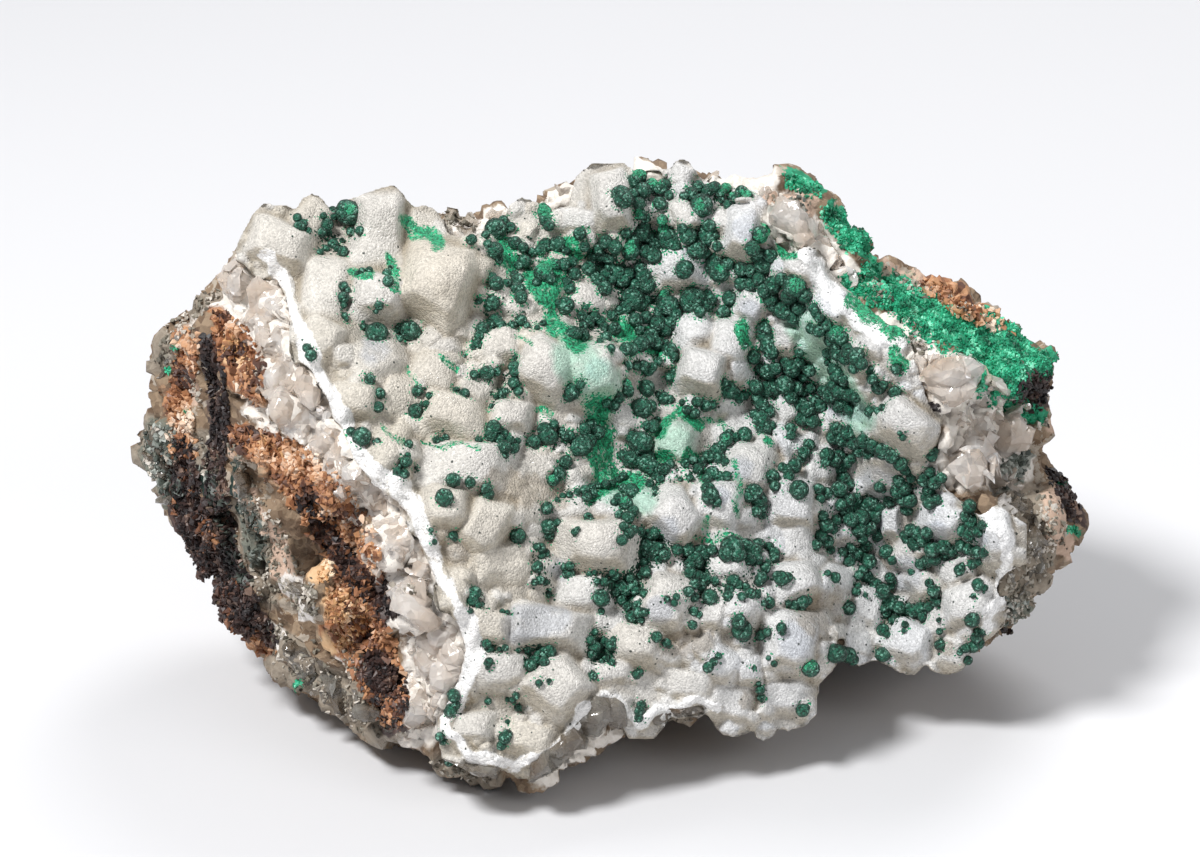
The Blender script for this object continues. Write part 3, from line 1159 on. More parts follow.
def gritMaterial(name):
    made, tree, shader = newMaterial(name + "Grit")
    fine = noiseOf(tree, place(tree), 2600.0, 3.0, 0.7)
    colour = colourStops(tree, attribute(tree, "tone"), grit[name]["tones"])
    tree.links.new(shaded(tree, colour, fine, 0.6, 1.35), shader.inputs["Base Color"])
    bumped(tree, shader, fine, 0.5, 0.00008)
    shader.inputs["Roughness"].default_value = 0.5
    shader.inputs["IOR"].default_value = 1.52
    return made


# Clear quartz: glassy broken faces over the rock

clearQuartz = {
    "rim": {
        "paths": [[(228, 268, 20), (240, 280, 26), (262, 310, 32), (285, 350, 34), (292, 395, 50),
                   (325, 420, 34), (345, 470, 28), (372, 520, 34), (395, 560, 34), (430, 610, 34),
                   (442, 655, 34), (425, 705, 30), (405, 735, 14)]],
        "blocks": [(250, 284, 30, 20, -42, -3, -6, 20), (284, 268, 10, 22, -30, 0, -4, 12),
                   (262, 330, 22, 12, 30, 0, -4, 12), (318, 396, 34, 18, 38, 0, -6, 16),
                   (268, 405, 26, 20, 10, 0, -4, 14), (430, 585, 16, 30, -35, 0, -4, 16),
                   (418, 612, 34, 16, 20, 0, -3, 14), (450, 668, 30, 14, -62, 0, -4, 16),
                   (434, 640, 22, 16, 20, 0, -4, 14)],
        "seed": 453, "high": 0.9,
    },
    "wall": {
        "paths": [[(155, 430, 16), (158, 480, 18), (172, 500, 8)],
                  [(160, 376, 8), (188, 316, 10), (214, 298, 12)],
                  [(246, 470, 8), (250, 510, 12), (266, 560, 10)], [(300, 585, 10), (308, 606, 9)]],
        "high": 0.9, "smoky": True,
    },
    "lower": {"paths": [[(292, 655, 20), (330, 690, 22), (385, 722, 18)]], "high": 0.9, "smoky": True},
    "right": {
        "paths": [[(915, 350, 20), (950, 375, 34), (985, 405, 40), (1000, 440, 34), (965, 465, 28),
                   (1010, 480, 20)]],
        "blocks": [(966, 468, 36, 24, 72, -3, -4, 30), (950, 372, 34, 15, -14, 0, -5, 18),
                   (905, 372, 14, 18, 20, 0, -3, 12), (1012, 428, 18, 32, 8, 2, -5, 20),
                   (940, 415, 24, 14, -35, 0, -3, 16), (1000, 380, 20, 12, 20, 0, -3, 12),
                   (990, 470, 14, 26, -20, 0, -3, 20)],
        "seed": 305, "high": 0.9,
    },
    "crest": {
        "paths": [[(765, 195, 14), (795, 225, 28), (820, 255, 24), (850, 285, 14)]],
        "blocks": [(790, 215, 26, 18, 30, 0, -4, 14), (810, 245, 20, 16, -20, 0, -4, 12)],
        "seed": 245, "high": 0.8,
    },
    "edge": {
        "paths": [[(1018, 502, 16), (1036, 530, 20), (1028, 560, 20), (1012, 595, 15), (1000, 625, 16)]],
        "high": 0.9, "smoky": True,
    },
    "top": {
        "paths": [[(548, 196, 8), (572, 186, 9), (596, 172, 8)],
                  [(430, 218, 8), (462, 226, 7), (510, 210, 9)],
                  [(700, 182, 8), (730, 178, 9)]],
        "high": 0.9,
    },
    "foot": {
        "paths": [[(606, 716, 25), (590, 730, 18), (571, 748, 22), (545, 772, 20)],
                  [(490, 774, 15), (470, 776, 15), (446, 770, 15)]],
        "blocks": [(604, 716, 24, 23, 0, 0, -2, 16), (571, 747, 20, 19, 20, 0, -1, 15),
                   (540, 772, 15, 24, -18, 0, -2, 15), (450, 772, 16, 14, 10, 0, -1, 12),
                   (480, 772, 14, 13, -10, 0, -1, 11)],
        "seed": 164, "high": 0.8, "smoky": True, "overCrust": True,
    },
    "footRight": {"paths": [[(656, 722, 8), (672, 714, 10), (700, 712, 9)]], "high": 0.7, "smoky": True,
                  "overCrust": True},
}

clearSheet = {
    "tucked": 0.0008,            # runs this far under the crust
    "slack": 0.0016,             # rock this far behind another part of the rock still counts as seen
    "ragged": (0.18, 0.14),      # waves of the outline, as shares of the mask
    "sunk": 0.0004,              # depth of the back under the rock
    "smooth": 7,
    "broad": (0.0042, 0.34),     # size and tilt of the broken faces
    "fine": (0.0017, 0.34),
    "lift": 0.0003,
    "range": (0.0001, 0.0012),
    "underCrust": 0.0001,        # stands out no more than this where the crust lies over it
    "borderDrop": 0.8,           # share of the height that is lost along the outline
    "restHeight": (0.0002, 0.0004),
    "roundPx": 0.35,
    "faces": 0.11,               # share of the fine faces that is left as broken facets
    "crustFaces": 0.08,          # the same over the crust
    "veinSize": 0.0022,
}


def alongPath(rng, path):
    ends = list(zip(path, path[1:])) or [(path[0], path[0])]
    a, b = rng.choices(ends, [math.dist(a[:2], b[:2]) + 1 for a, b in ends])[0]
    t = rng.random()
    wide = a[2] + (b[2] - a[2]) * t
    return (a[0] + (b[0] - a[0]) * t + rng.uniform(-wide, wide),
            a[1] + (b[1] - a[1]) * t + rng.uniform(-wide, wide) * 0.8)


def openToView(points, tree, slack):
    # true where nothing of the tree stands between a point and the eye, apart from its own roughness
    away = np.linalg.norm(points - np.array(eye), axis=1)
    first = [tree.ray_cast(eye, Vector(p) - eye)[3] or openAir for p in points]
    return away - np.array(first) < slack


def makeClear(name, base, tree, cover):
    recipe = clearQuartz[name]
    over = recipe.get("overCrust")
    rng = np.random.default_rng(recipe.get("seed", 0))
    points, normals = coordsOf(base), normalsOf(base)
    x, y = pictureOf(points)
    ragged = clearSheet["ragged"][0] * np.sin(x / 4.1 + 2 * np.sin(y / 7.3))
    ragged += clearSheet["ragged"][1] * np.sin(y / 3.3 + x / 9.7)
    known = strokeMask(x, y, recipe["paths"]) + ragged > 0.5
    known &= (normals * eyeward(points)).sum(axis=1) > 0.0
    known &= (cover == openAir) | (cover < clearSheet["tucked"])
    known[known] = openToView(points[known], tree, clearSheet["slack"])
    quads = quadsOf(base)
    quads = quads[known[quads].all(axis=1)]
    used = np.unique(quads)
    order = np.full(len(points), -1)
    order[used] = np.arange(len(used))
    thing = makeObject("clear_quartz_" + name, points[used].tolist(), order[quads].tolist())
    if not over:
        finer = thing.modifiers.new("finer", "SUBSURF")
        finer.subdivision_type = "SIMPLE"
        bake(thing)
    links, quads = edgesOf(thing), quadsOf(thing)
    points, normals = relax(coordsOf(thing), links, clearSheet["smooth"]), relax(normalsOf(thing), links, 2)
    normals /= np.linalg.norm(normals, axis=1)[:, None]
    lift = chunks(points, clearSheet["broad"][0], len(name), clearSheet["broad"][1])
    lift += chunks(points, clearSheet["fine"][0], len(name) + 7, clearSheet["fine"][1])
    lift = np.clip(clearSheet["lift"] + lift, *clearSheet["range"]) * recipe["high"]
    x, y = pictureOf(points)
    for block in recipe.get("blocks", []):
        high = crystalHeight(x, y, block, clearSheet["roundPx"], rng) * view["pixel"]
        near = np.hypot(x - block[0], y - block[1]) < crystal["reach"] * max(block[2:4])
        lift = np.where(near, np.maximum(lift, high * recipe["high"]), lift)
    if not over:
        toEye = eyeward(points)
        hidden = [crustTree.ray_cast(Vector(p), Vector(w))[0] is not None for p, w in zip(points, toEye)]
        lift = np.where(hidden, np.minimum(lift, clearSheet["underCrust"]), lift)
    border = np.zeros(len(points))
    border[np.unique(looseSides(quads, len(points)))] = 1
    border = np.clip(relax(border, links, 2) * 1.6, 0, 1)
    skin = points + normals * (lift * (1 - clearSheet["borderDrop"] * border))[:, None]
    rear = points - normals * clearSheet["sunk"]
    rear[:, 2] = np.maximum(rear[:, 2], clearSheet["restHeight"][0])
    skin[:, 2] = np.maximum(skin[:, 2], clearSheet["restHeight"][1])
    tone = 0.5 + 0.9 * cloud(points, clearSheet["veinSize"], len(name))
    bpy.data.objects.remove(thing)
    thing = shellMesh("clear_quartz_" + name, quads, skin, rear)
    storeMask(thing, "tone", np.concatenate((tone, np.full(len(thing.data.vertices) - len(tone), 0.5))))
    broken = thing.modifiers.new("broken faces", "DECIMATE")
    broken.ratio = clearSheet["crustFaces" if over else "faces"]
    bake(thing)
    thing.data.validate()
    thing.data.shade_flat()
    return thing


# Two clean tones and two veiled ones
clearTones = [rgb(255, 253, 251), rgb(246, 240, 234), rgb(244, 232, 220), rgb(214, 190, 166)]
smokyTones = [rgb(176, 174, 166), rgb(148, 142, 132), rgb(140, 124, 106), rgb(98, 82, 66)]


def clearMaterial(name, tones):
    made, tree, shader = newMaterial(name)
    at = place(tree)
    veil = noiseOf(tree, at, 420.0, 5.0, 0.6)
    facets = groupNode(tree, facetGroup, {"Vector": at, "Size": 0.0010, "Tilt": 0.5})
    rough = remapped(tree, facets.outputs["Tone"], (0.0, 1.0), (0.05, 0.28))
    tree.links.new(rough, shader.inputs["Roughness"])
    clean = mixColours(tree, facets.outputs["Tone"], *tones[:2])
    veiled = mixColours(tree, veil, *tones[2:])
    tree.links.new(mixColours(tree, attribute(tree, "tone"), clean, veiled), shader.inputs["Base Color"])
    bumped(tree, shader, facets.outputs["Height"], 1.0, 1.0)
    shader.inputs["Transmission Weight"].default_value = 0.55
    shader.inputs["IOR"].default_value = 1.544
    absorb = put(tree, "ShaderNodeVolumeAbsorption")
    absorb.inputs["Color"].default_value = (0.90, 0.84, 0.76, 1.0)
    absorb.inputs["Density"].default_value = 5.0
    tree.links.new(absorb.outputs["Volume"], tree.nodes["Material Output"].inputs["Volume"])
    return made


# Malachite balls, read from the view: (x, y, radius) in pixels

ballPlaces = [
    # upper left
    (349, 213, 14), (297, 218, 5), (303, 224, 5), (299, 228, 6), (308, 231, 4), (323, 216, 4),
    (332, 212, 5), (333, 217, 4), (326, 225, 7), (321, 233, 5), (328, 233, 4), (352, 232, 5), (361, 231, 5),
    (342, 241, 3), (333, 245, 6), (343, 253, 6), (326, 249, 4), (320, 253, 4), (337, 250, 4), (369, 271, 4),
    (362, 272, 4), (357, 274, 3), (386, 274, 5), (388, 282, 6), (391, 268, 3), (343, 287, 5), (344, 297, 6),
    (343, 305, 4), (348, 290, 3), (344, 316, 4), (346, 320, 3), (379, 305, 5), (376, 311, 3),
    (377, 335, 11), (363, 327, 4), (411, 331, 11), (398, 328, 4), (399, 339, 4), (396, 332, 3),
    (308, 348, 5), (312, 355, 6),
    # left of the middle
    (369, 380, 6), (379, 394, 6), (377, 407, 6), (418, 390, 6), (430, 396, 4), (427, 404, 4), (421, 405, 3),
    (414, 412, 8), (360, 438, 10), (351, 432, 5), (378, 441, 3), (374, 442, 2), (408, 445, 5),
    (407, 455, 3), (406, 461, 6), (397, 472, 5), (404, 474, 5), (400, 466, 3), (416, 468, 2), (436, 440, 4),
    (446, 438, 4), (442, 440, 3), (478, 440, 4), (453, 480, 8), (470, 482, 6), (486, 488, 6), (489, 495, 6),
    (444, 499, 9), (476, 345, 5), (473, 348, 3), (465, 356, 2), (474, 375, 5), (487, 373, 8), (496, 371, 5),
    (515, 357, 3), (515, 367, 6), (515, 372, 5), (514, 383, 6), (518, 391, 5), (502, 394, 6), (506, 391, 4),
    (496, 397, 3), (464, 395, 6), (456, 391, 4), (494, 427, 8), (489, 436, 7), (502, 434, 7), (510, 440, 6),
    (503, 448, 7), (505, 455, 4), (513, 449, 6), (499, 441, 6), (517, 441, 4), (545, 428, 8), (553, 424, 5),
    (541, 437, 5), (549, 438, 9), (535, 441, 7), (536, 446, 5), (492, 406, 3), (552, 480, 7), (558, 472, 7),
    (565, 462, 7), (546, 508, 7), (517, 535, 8), (547, 527, 8), (548, 535, 6), (558, 523, 4), (453, 534, 5),
    (455, 538, 4), (431, 530, 3), (434, 542, 3),
    # upper middle, left side
    (545, 213, 8), (547, 220, 7), (543, 208, 5), (550, 225, 6), (497, 231, 12), (487, 225, 6),
    (504, 222, 6), (510, 228, 6), (485, 236, 5), (493, 251, 9), (498, 260, 5), (487, 245, 5), (516, 244, 7),
    (523, 248, 6), (511, 241, 4), (524, 262, 8), (518, 266, 5), (533, 253, 5), (540, 251, 6), (546, 246, 8),
    (559, 246, 9), (567, 250, 5), (579, 235, 7), (584, 246, 6), (598, 249, 6), (592, 257, 5), (607, 241, 8),
    (615, 246, 8), (601, 256, 6), (609, 258, 6), (543, 275, 10), (550, 280, 6), (537, 283, 5),
    (491, 277, 5), (496, 285, 8), (506, 284, 5), (517, 281, 7), (514, 275, 5), (519, 291, 8), (520, 298, 7),
    (491, 303, 8), (488, 308, 4), (479, 301, 4), (495, 322, 8), (489, 326, 5), (481, 329, 7), (502, 326, 5),
    (512, 326, 5), (521, 321, 6), (527, 326, 4), (480, 336, 5), (537, 328, 3), (543, 324, 4), (556, 265, 6),
    (563, 265, 7), (571, 262, 6), (575, 275, 7), (568, 283, 6), (569, 288, 6), (588, 270, 8), (594, 277, 6),
    (600, 284, 8), (604, 289, 8), (604, 276, 7), (611, 280, 6), (617, 273, 8), (610, 267, 6), (622, 280, 8),
    (566, 306, 9), (558, 303, 4), (586, 307, 3), (581, 316, 6), (588, 323, 7), (595, 316, 6), (600, 322, 6),
    (583, 326, 5), (604, 328, 5), (573, 335, 8), (583, 337, 7), (614, 330, 7), (611, 316, 6), (620, 311, 6),
    (606, 338, 6),
    # upper middle
    (629, 250, 10), (640, 232, 9), (632, 240, 7), (648, 238, 7), (626, 232, 6), (644, 226, 6),
    (640, 214, 6), (645, 218, 5), (640, 165, 8), (634, 170, 8), (650, 168, 7), (658, 163, 7), (664, 169, 6),
    (632, 182, 8), (638, 176, 8), (650, 178, 10), (660, 178, 8), (666, 184, 7), (641, 192, 9),
    (632, 194, 6), (652, 187, 8), (662, 190, 8), (660, 204, 7), (669, 195, 5), (638, 204, 7), (654, 245, 7),
    (653, 254, 9), (660, 240, 6), (646, 251, 7), (670, 240, 12), (665, 228, 7), (663, 220, 6),
    (676, 246, 7), (688, 235, 9), (683, 228, 6), (695, 240, 6), (696, 250, 11), (708, 238, 10),
    (705, 250, 8), (718, 246, 6), (716, 236, 5), (709, 225, 7), (704, 229, 5), (701, 207, 12),
    (690, 193, 7), (698, 188, 7), (706, 192, 7), (714, 188, 7), (720, 193, 6), (726, 189, 6), (684, 197, 5),
    (722, 200, 4), (728, 205, 5), (735, 198, 6), (742, 193, 7), (748, 196, 5), (684, 269, 10),
    (715, 262, 9), (722, 272, 12), (711, 268, 7), (728, 265, 8), (640, 268, 7), (645, 276, 9),
    (636, 285, 8), (649, 285, 9), (628, 273, 7), (633, 293, 8), (632, 300, 12), (640, 305, 8),
    (625, 308, 8), (645, 300, 6), (665, 293, 5), (669, 307, 11), (660, 312, 8), (675, 314, 8),
    (663, 300, 7), (693, 301, 14), (705, 305, 9), (711, 300, 7), (708, 294, 5), (700, 312, 6),
    (635, 320, 8), (645, 318, 7), (655, 325, 9), (665, 330, 8), (650, 335, 8), (640, 330, 6), (655, 344, 8),
    (640, 345, 9), (630, 350, 7), (662, 322, 7), (672, 323, 7),
    # upper right
    (760, 235, 9), (751, 248, 8), (758, 255, 9), (742, 268, 8), (752, 270, 8), (765, 265, 10),
    (770, 255, 8), (742, 283, 9), (752, 285, 8), (760, 280, 7), (773, 285, 9), (765, 290, 8), (782, 278, 7),
    (796, 285, 12), (790, 295, 9), (805, 295, 8), (785, 310, 10), (775, 305, 8), (795, 318, 8),
    (770, 298, 8), (800, 308, 8), (730, 298, 8), (724, 312, 7), (817, 313, 6), (815, 308, 6), (820, 318, 5),
    # middle
    (610, 349, 5), (600, 342, 4), (625, 350, 7), (647, 342, 8), (669, 351, 8), (665, 345, 6), (673, 357, 5),
    (627, 366, 5), (635, 365, 5), (643, 365, 6), (648, 370, 6), (652, 367, 5), (657, 362, 5), (671, 377, 6),
    (674, 372, 4), (625, 384, 6), (627, 392, 7), (618, 397, 6), (613, 404, 7), (606, 402, 5), (645, 389, 9),
    (663, 399, 7), (657, 395, 4), (670, 400, 5), (641, 411, 11), (649, 406, 7), (652, 427, 7),
    (646, 425, 5), (657, 420, 4), (640, 443, 12), (632, 437, 7), (650, 455, 6), (630, 460, 9),
    (623, 455, 6), (636, 462, 7), (647, 465, 10), (653, 470, 9), (656, 477, 5), (573, 391, 8),
    (568, 396, 6), (581, 384, 5), (583, 430, 7), (590, 425, 6), (596, 433, 8), (580, 446, 11),
    (589, 443, 8), (575, 450, 7), (565, 436, 5), (570, 435, 5), (561, 431, 4), (563, 497, 4), (570, 494, 4),
    (577, 492, 4), (584, 490, 5), (591, 488, 5), (586, 497, 5), (592, 494, 5), (557, 500, 3), (597, 486, 4),
    (605, 484, 5), (612, 483, 4), (618, 480, 4), (623, 477, 5), (631, 491, 8), (624, 489, 5), (619, 500, 6),
    (626, 505, 8), (632, 512, 6), (620, 515, 5), (614, 503, 4), (627, 517, 7), (656, 490, 4), (655, 495, 3),
    (650, 485, 5), (665, 470, 7), (670, 465, 5), (660, 480, 5), (687, 410, 5), (694, 413, 6), (683, 403, 4),
    (704, 405, 7), (697, 402, 6), (712, 404, 5), (726, 389, 9), (733, 392, 7), (738, 398, 6), (744, 395, 5),
    (723, 382, 5), (726, 440, 8), (722, 446, 6), (729, 434, 5), (744, 435, 8), (735, 438, 5), (716, 453, 8),
    (708, 457, 7), (720, 460, 7), (726, 463, 5), (700, 463, 6), (692, 461, 5), (685, 464, 5), (698, 470, 6),
    (712, 475, 8), (718, 478, 7), (727, 476, 5), (707, 480, 6), (690, 478, 4), (680, 480, 3), (708, 490, 7),
    (710, 497, 9), (716, 502, 6), (753, 491, 9), (757, 500, 9), (747, 497, 6), (760, 507, 7), (755, 512, 6),
    (761, 515, 5),
    # right band
    (765, 328, 8), (765, 336, 8), (745, 345, 3), (752, 357, 8), (769, 345, 9), (773, 353, 8), (768, 370, 9),
    (760, 368, 6), (776, 368, 7), (792, 367, 10), (800, 362, 7), (785, 362, 6), (810, 370, 7),
    (803, 376, 6), (755, 387, 8), (765, 390, 9), (758, 397, 7), (772, 384, 6), (785, 385, 10),
    (795, 388, 8), (775, 390, 7), (790, 398, 7), (803, 393, 6), (811, 389, 6), (799, 405, 9), (808, 410, 9),
    (815, 402, 8), (820, 408, 7), (803, 418, 8), (813, 420, 8), (762, 405, 8), (768, 413, 8), (760, 420, 9),
    (763, 428, 9), (770, 425, 6), (754, 415, 6), (789, 430, 7), (790, 436, 5), (808, 445, 6), (803, 452, 7),
    (801, 458, 5), (800, 352, 5), (812, 328, 6), (820, 330, 7), (825, 325, 6), (836, 333, 10),
    (843, 338, 8), (829, 340, 7), (838, 345, 8), (828, 352, 6), (840, 352, 9), (850, 350, 8), (858, 356, 9),
    (862, 363, 7), (855, 368, 6), (847, 358, 7), (828, 362, 4), (834, 368, 7), (840, 374, 9), (845, 380, 6),
    (873, 378, 6), (878, 386, 8), (884, 384, 5), (870, 370, 5), (895, 394, 7), (896, 368, 6), (871, 412, 6),
    (878, 411, 4), (883, 408, 4), (843, 405, 8), (850, 410, 6), (838, 408, 5), (832, 395, 9), (841, 390, 9),
    (850, 392, 8), (857, 397, 6), (825, 390, 7), (836, 385, 8), (834, 437, 8), (845, 440, 9), (855, 442, 8),
    (865, 440, 8), (875, 445, 8), (884, 450, 9), (893, 455, 8), (900, 462, 8), (905, 470, 7), (910, 477, 6),
    (870, 452, 7), (860, 450, 7), (850, 432, 8), (838, 428, 8), (826, 455, 8), (833, 460, 8), (840, 455, 7),
    (825, 462, 6), (846, 462, 8), (840, 470, 7), (852, 458, 6), (843, 478, 8), (850, 485, 7), (838, 490, 9),
    (846, 500, 8), (850, 508, 9), (840, 505, 7), (856, 498, 7), (818, 490, 6), (825, 494, 7), (820, 500, 5),
    (880, 486, 6), (883, 489, 4), (793, 467, 8), (786, 470, 6), (782, 468, 5), (788, 477, 6), (773, 478, 8),
    (776, 486, 6), (798, 491, 10), (870, 505, 10), (862, 510, 9), (880, 508, 8), (858, 503, 8),
    (890, 500, 7), (900, 480, 7), (905, 486, 8), (897, 490, 8), (905, 497, 9), (912, 500, 8), (908, 508, 7),
    (931, 455, 6), (935, 450, 4), (931, 472, 6), (925, 480, 7), (935, 482, 7), (940, 478, 6), (930, 490, 7),
    (926, 497, 6), (931, 503, 8), (938, 500, 6), (903, 437, 4), (900, 433, 3),
    # lower right
    (976, 503, 7), (968, 508, 5), (966, 516, 7), (972, 526, 7), (978, 532, 6), (970, 535, 7), (983, 525, 5),
    (962, 530, 6), (975, 520, 5), (962, 545, 7), (970, 548, 7), (978, 552, 7), (985, 552, 5), (952, 550, 7),
    (944, 556, 7), (935, 558, 8), (928, 560, 7), (920, 563, 6), (915, 545, 8), (925, 540, 8), (932, 548, 8),
    (945, 545, 8), (908, 540, 7), (912, 530, 7), (905, 535, 6), (918, 532, 7), (928, 532, 7), (972, 563, 6),
    (979, 561, 5), (960, 570, 6), (962, 566, 4), (978, 585, 7), (984, 588, 4), (973, 596, 3), (934, 590, 7),
    (936, 597, 6), (930, 583, 5), (938, 603, 5), (888, 553, 8), (893, 560, 5), (855, 555, 8), (862, 560, 8),
    (848, 560, 7), (870, 562, 8), (850, 548, 6), (842, 552, 5), (862, 538, 6), (866, 545, 6), (858, 530, 8),
    (868, 528, 8), (876, 535, 7), (850, 520, 8), (860, 518, 9), (872, 518, 8), (845, 512, 8), (825, 525, 8),
    (820, 535, 7), (828, 540, 7), (830, 550, 5), (815, 545, 6), (832, 530, 6), (822, 515, 6), (835, 520, 6),
    (827, 574, 4), (834, 578, 6), (857, 592, 5), (858, 587, 4), (865, 595, 3), (868, 575, 7), (875, 583, 8),
    (882, 592, 8), (888, 600, 8), (893, 605, 7), (900, 608, 7), (908, 610, 7), (915, 612, 8), (922, 610, 8),
    (930, 608, 6), (924, 617, 6), (862, 570, 6), (858, 575, 5), (889, 578, 6), (891, 585, 5), (912, 572, 4),
    (847, 608, 8), (883, 608, 5), (886, 613, 5), (892, 621, 4), (884, 631, 7), (888, 635, 4), (905, 625, 4),
    (904, 631, 3), (880, 662, 10), (884, 655, 8), (877, 670, 8), (847, 655, 8), (852, 660, 6),
    (843, 651, 5), (941, 645, 6), (940, 631, 4), (939, 620, 3), (980, 632, 7), (975, 637, 6), (972, 645, 7),
    (978, 650, 8), (980, 643, 7), (972, 655, 7), (967, 660, 5), (965, 648, 5), (960, 652, 4),
    # lower middle
    (623, 527, 5), (628, 533, 6), (633, 530, 5), (640, 532, 5), (648, 535, 6), (655, 532, 6), (621, 540, 6),
    (645, 545, 7), (655, 550, 9), (650, 558, 7), (660, 547, 5), (665, 555, 7), (645, 552, 6), (658, 560, 5),
    (644, 563, 5), (646, 572, 6), (640, 575, 4), (677, 550, 6), (687, 549, 7), (695, 558, 8), (690, 565, 7),
    (700, 552, 8), (706, 552, 8), (712, 550, 6), (697, 562, 7), (690, 573, 7), (698, 578, 7), (705, 580, 7),
    (715, 582, 5), (694, 585, 6), (700, 588, 6), (688, 592, 6), (693, 597, 5), (732, 550, 12),
    (738, 556, 8), (726, 555, 8), (745, 548, 9), (752, 553, 10), (757, 545, 7), (748, 560, 7),
    (757, 560, 6), (774, 552, 6), (773, 558, 6), (770, 547, 5), (764, 568, 6), (760, 578, 7), (758, 583, 5),
    (767, 563, 4), (782, 579, 8), (787, 578, 6), (778, 577, 6), (802, 601, 7), (807, 600, 5), (793, 605, 6),
    (800, 608, 6), (788, 603, 4), (768, 603, 6), (763, 603, 4), (733, 580, 7), (738, 586, 6), (730, 590, 6),
    (745, 588, 5), (750, 595, 6), (742, 597, 5), (756, 595, 5), (727, 597, 6), (710, 598, 8), (693, 612, 5),
    (699, 615, 4), (692, 625, 5), (645, 594, 5), (667, 599, 4), (676, 597, 4), (674, 603, 4),
    (742, 628, 11), (739, 620, 8), (744, 633, 8), (762, 635, 6), (768, 632, 5), (758, 637, 4),
    (781, 628, 6), (782, 633, 3), (769, 658, 3), (774, 663, 4), (809, 667, 9), (708, 667, 6), (713, 662, 5),
    (718, 656, 4), (656, 637, 6), (666, 643, 5), (669, 646, 3), (634, 617, 7), (640, 612, 6), (638, 605, 5),
    (645, 612, 5), (628, 607, 5), (622, 600, 6), (626, 590, 7), (633, 585, 6), (630, 578, 5), (620, 585, 6),
    (615, 592, 5), (636, 592, 5), (642, 620, 4),
    # lower left
    (615, 575, 5), (612, 572, 4), (600, 598, 9), (604, 582, 5), (597, 581, 4), (590, 574, 4), (595, 572, 3),
    (601, 611, 4), (568, 573, 7), (570, 565, 5), (564, 567, 4), (575, 532, 4), (578, 529, 3), (588, 517, 5),
    (540, 548, 5), (544, 553, 5), (536, 547, 4), (541, 556, 4), (538, 567, 6), (533, 568, 3), (534, 582, 4),
    (539, 580, 5), (545, 582, 4), (548, 594, 4), (549, 590, 2), (474, 593, 7), (472, 600, 6), (479, 593, 3),
    (478, 606, 4), (482, 605, 3), (470, 611, 3), (502, 612, 3), (507, 613, 3), (487, 643, 5), (490, 650, 5),
    (505, 648, 4), (500, 649, 3), (518, 650, 3), (527, 649, 4), (530, 665, 7), (535, 661, 6), (543, 655, 8),
    (550, 653, 7), (545, 663, 5), (538, 655, 5), (489, 662, 5), (488, 667, 3), (594, 632, 4), (593, 647, 7),
    (592, 655, 5), (597, 652, 4), (590, 640, 5), (606, 642, 5), (612, 645, 6), (614, 640, 4), (606, 660, 4),
    (612, 663, 4), (602, 662, 3), (592, 677, 5), (539, 683, 4), (549, 681, 3), (454, 695, 7), (452, 710, 7),
    (456, 705, 5), (449, 712, 5), (488, 701, 4), (508, 699, 3), (513, 699, 4), (516, 695, 4), (518, 707, 4),
    (508, 722, 3), (505, 738, 7), (502, 745, 5), (507, 735, 6), (440, 736, 5), (437, 741, 5), (443, 741, 4),
    (640, 713, 6), (641, 705, 5), (639, 718, 5), (636, 674, 5), (640, 672, 4), (760, 690, 5), (761, 697, 4),
    (758, 683, 3), (802, 710, 7), (805, 708, 5), (754, 668, 3),
]

# Where balls carry bright green: (x, y, reach) in pixels
vividTops = [
    (629, 246, 8), (660, 224, 9), (640, 166, 12), (545, 210, 9), (663, 292, 5), (763, 238, 9), (796, 284, 8),
    (545, 262, 12), (638, 214, 5), (655, 180, 7), (728, 188, 8), (745, 194, 7), (836, 330, 7), (700, 205, 6),
    (552, 478, 4), (624, 500, 4), (726, 438, 4), (810, 664, 7), (350, 208, 6), (632, 382, 5), (720, 268, 4),
]

malachite = {
    "sunk": 0.42,                # share of the radius below the crystal's surface
    "outward": 0.6,              # the rest stands off the crystal, by this share towards the eye
    "lumps": (0.45, 0.07),       # lump size and height as shares of the radius
    "grain": (0.14, 0.035),
    "squash": (0.92, 1.06),
    "finePx": 8.5,               # larger balls get the finest mesh
    "tinyPx": 4.0,
    "joinPx": 7.0,               # a ball this near a frame growth in the view belongs to it
    "middlePx": 640,             # parts the small balls into two pieces
    "crowdReach": 0.0030,
    "crowd": (2.5, 6.0),         # from here to here a crowd of balls turns the ground between them to moss
    "haloReach": 0.0007,
    "haloStrength": 0.6,
    "grains": 450,
    "grainPx": (0.8, 1.7),
    "grainAway": (1.0, 2.6),     # grains lie this many radii from a ball's centre
    "foot": (0.85, 1.35),        # how far a face turns from the view before it counts as the ball's foot
    "gap": (0.15, 1.05),
}


def ballMesh(level):
    shell = bmesh.new()
    bmesh.ops.create_icosphere(shell, subdivisions=level, radius=1.0)
    points = np.array([v.co[:] for v in shell.verts])
    faces = np.array([[v.index for v in f.verts] for f in shell.faces])
    shell.free()
    return points, faces


ballLevels = {level: ballMesh(level) for level in (1, 2, 3, 4)}


def lumpyBall(rng, centre, radius, level):
    points, faces = ballLevels[level]
    turn = anyTurn(rng, 1)
    shift = Vector((rng.uniform(0, 50), rng.uniform(0, 50), rng.uniform(0, 50)))
    size, height = malachite["lumps"]
    lift = np.array([1 + height * noise.noise(Vector(p) / size + shift) for p in points])
    if level > 2:
        size, height = malachite["grain"]
        lift += np.array([height * noise.noise(Vector(p) / size + shift) for p in points])
    squash = np.array([rng.uniform(*malachite["squash"]) for _ in range(3)])
    shaped = points * lift[:, None] * squash * radius
    return shaped @ np.array(turn).T + np.array(centre), faces


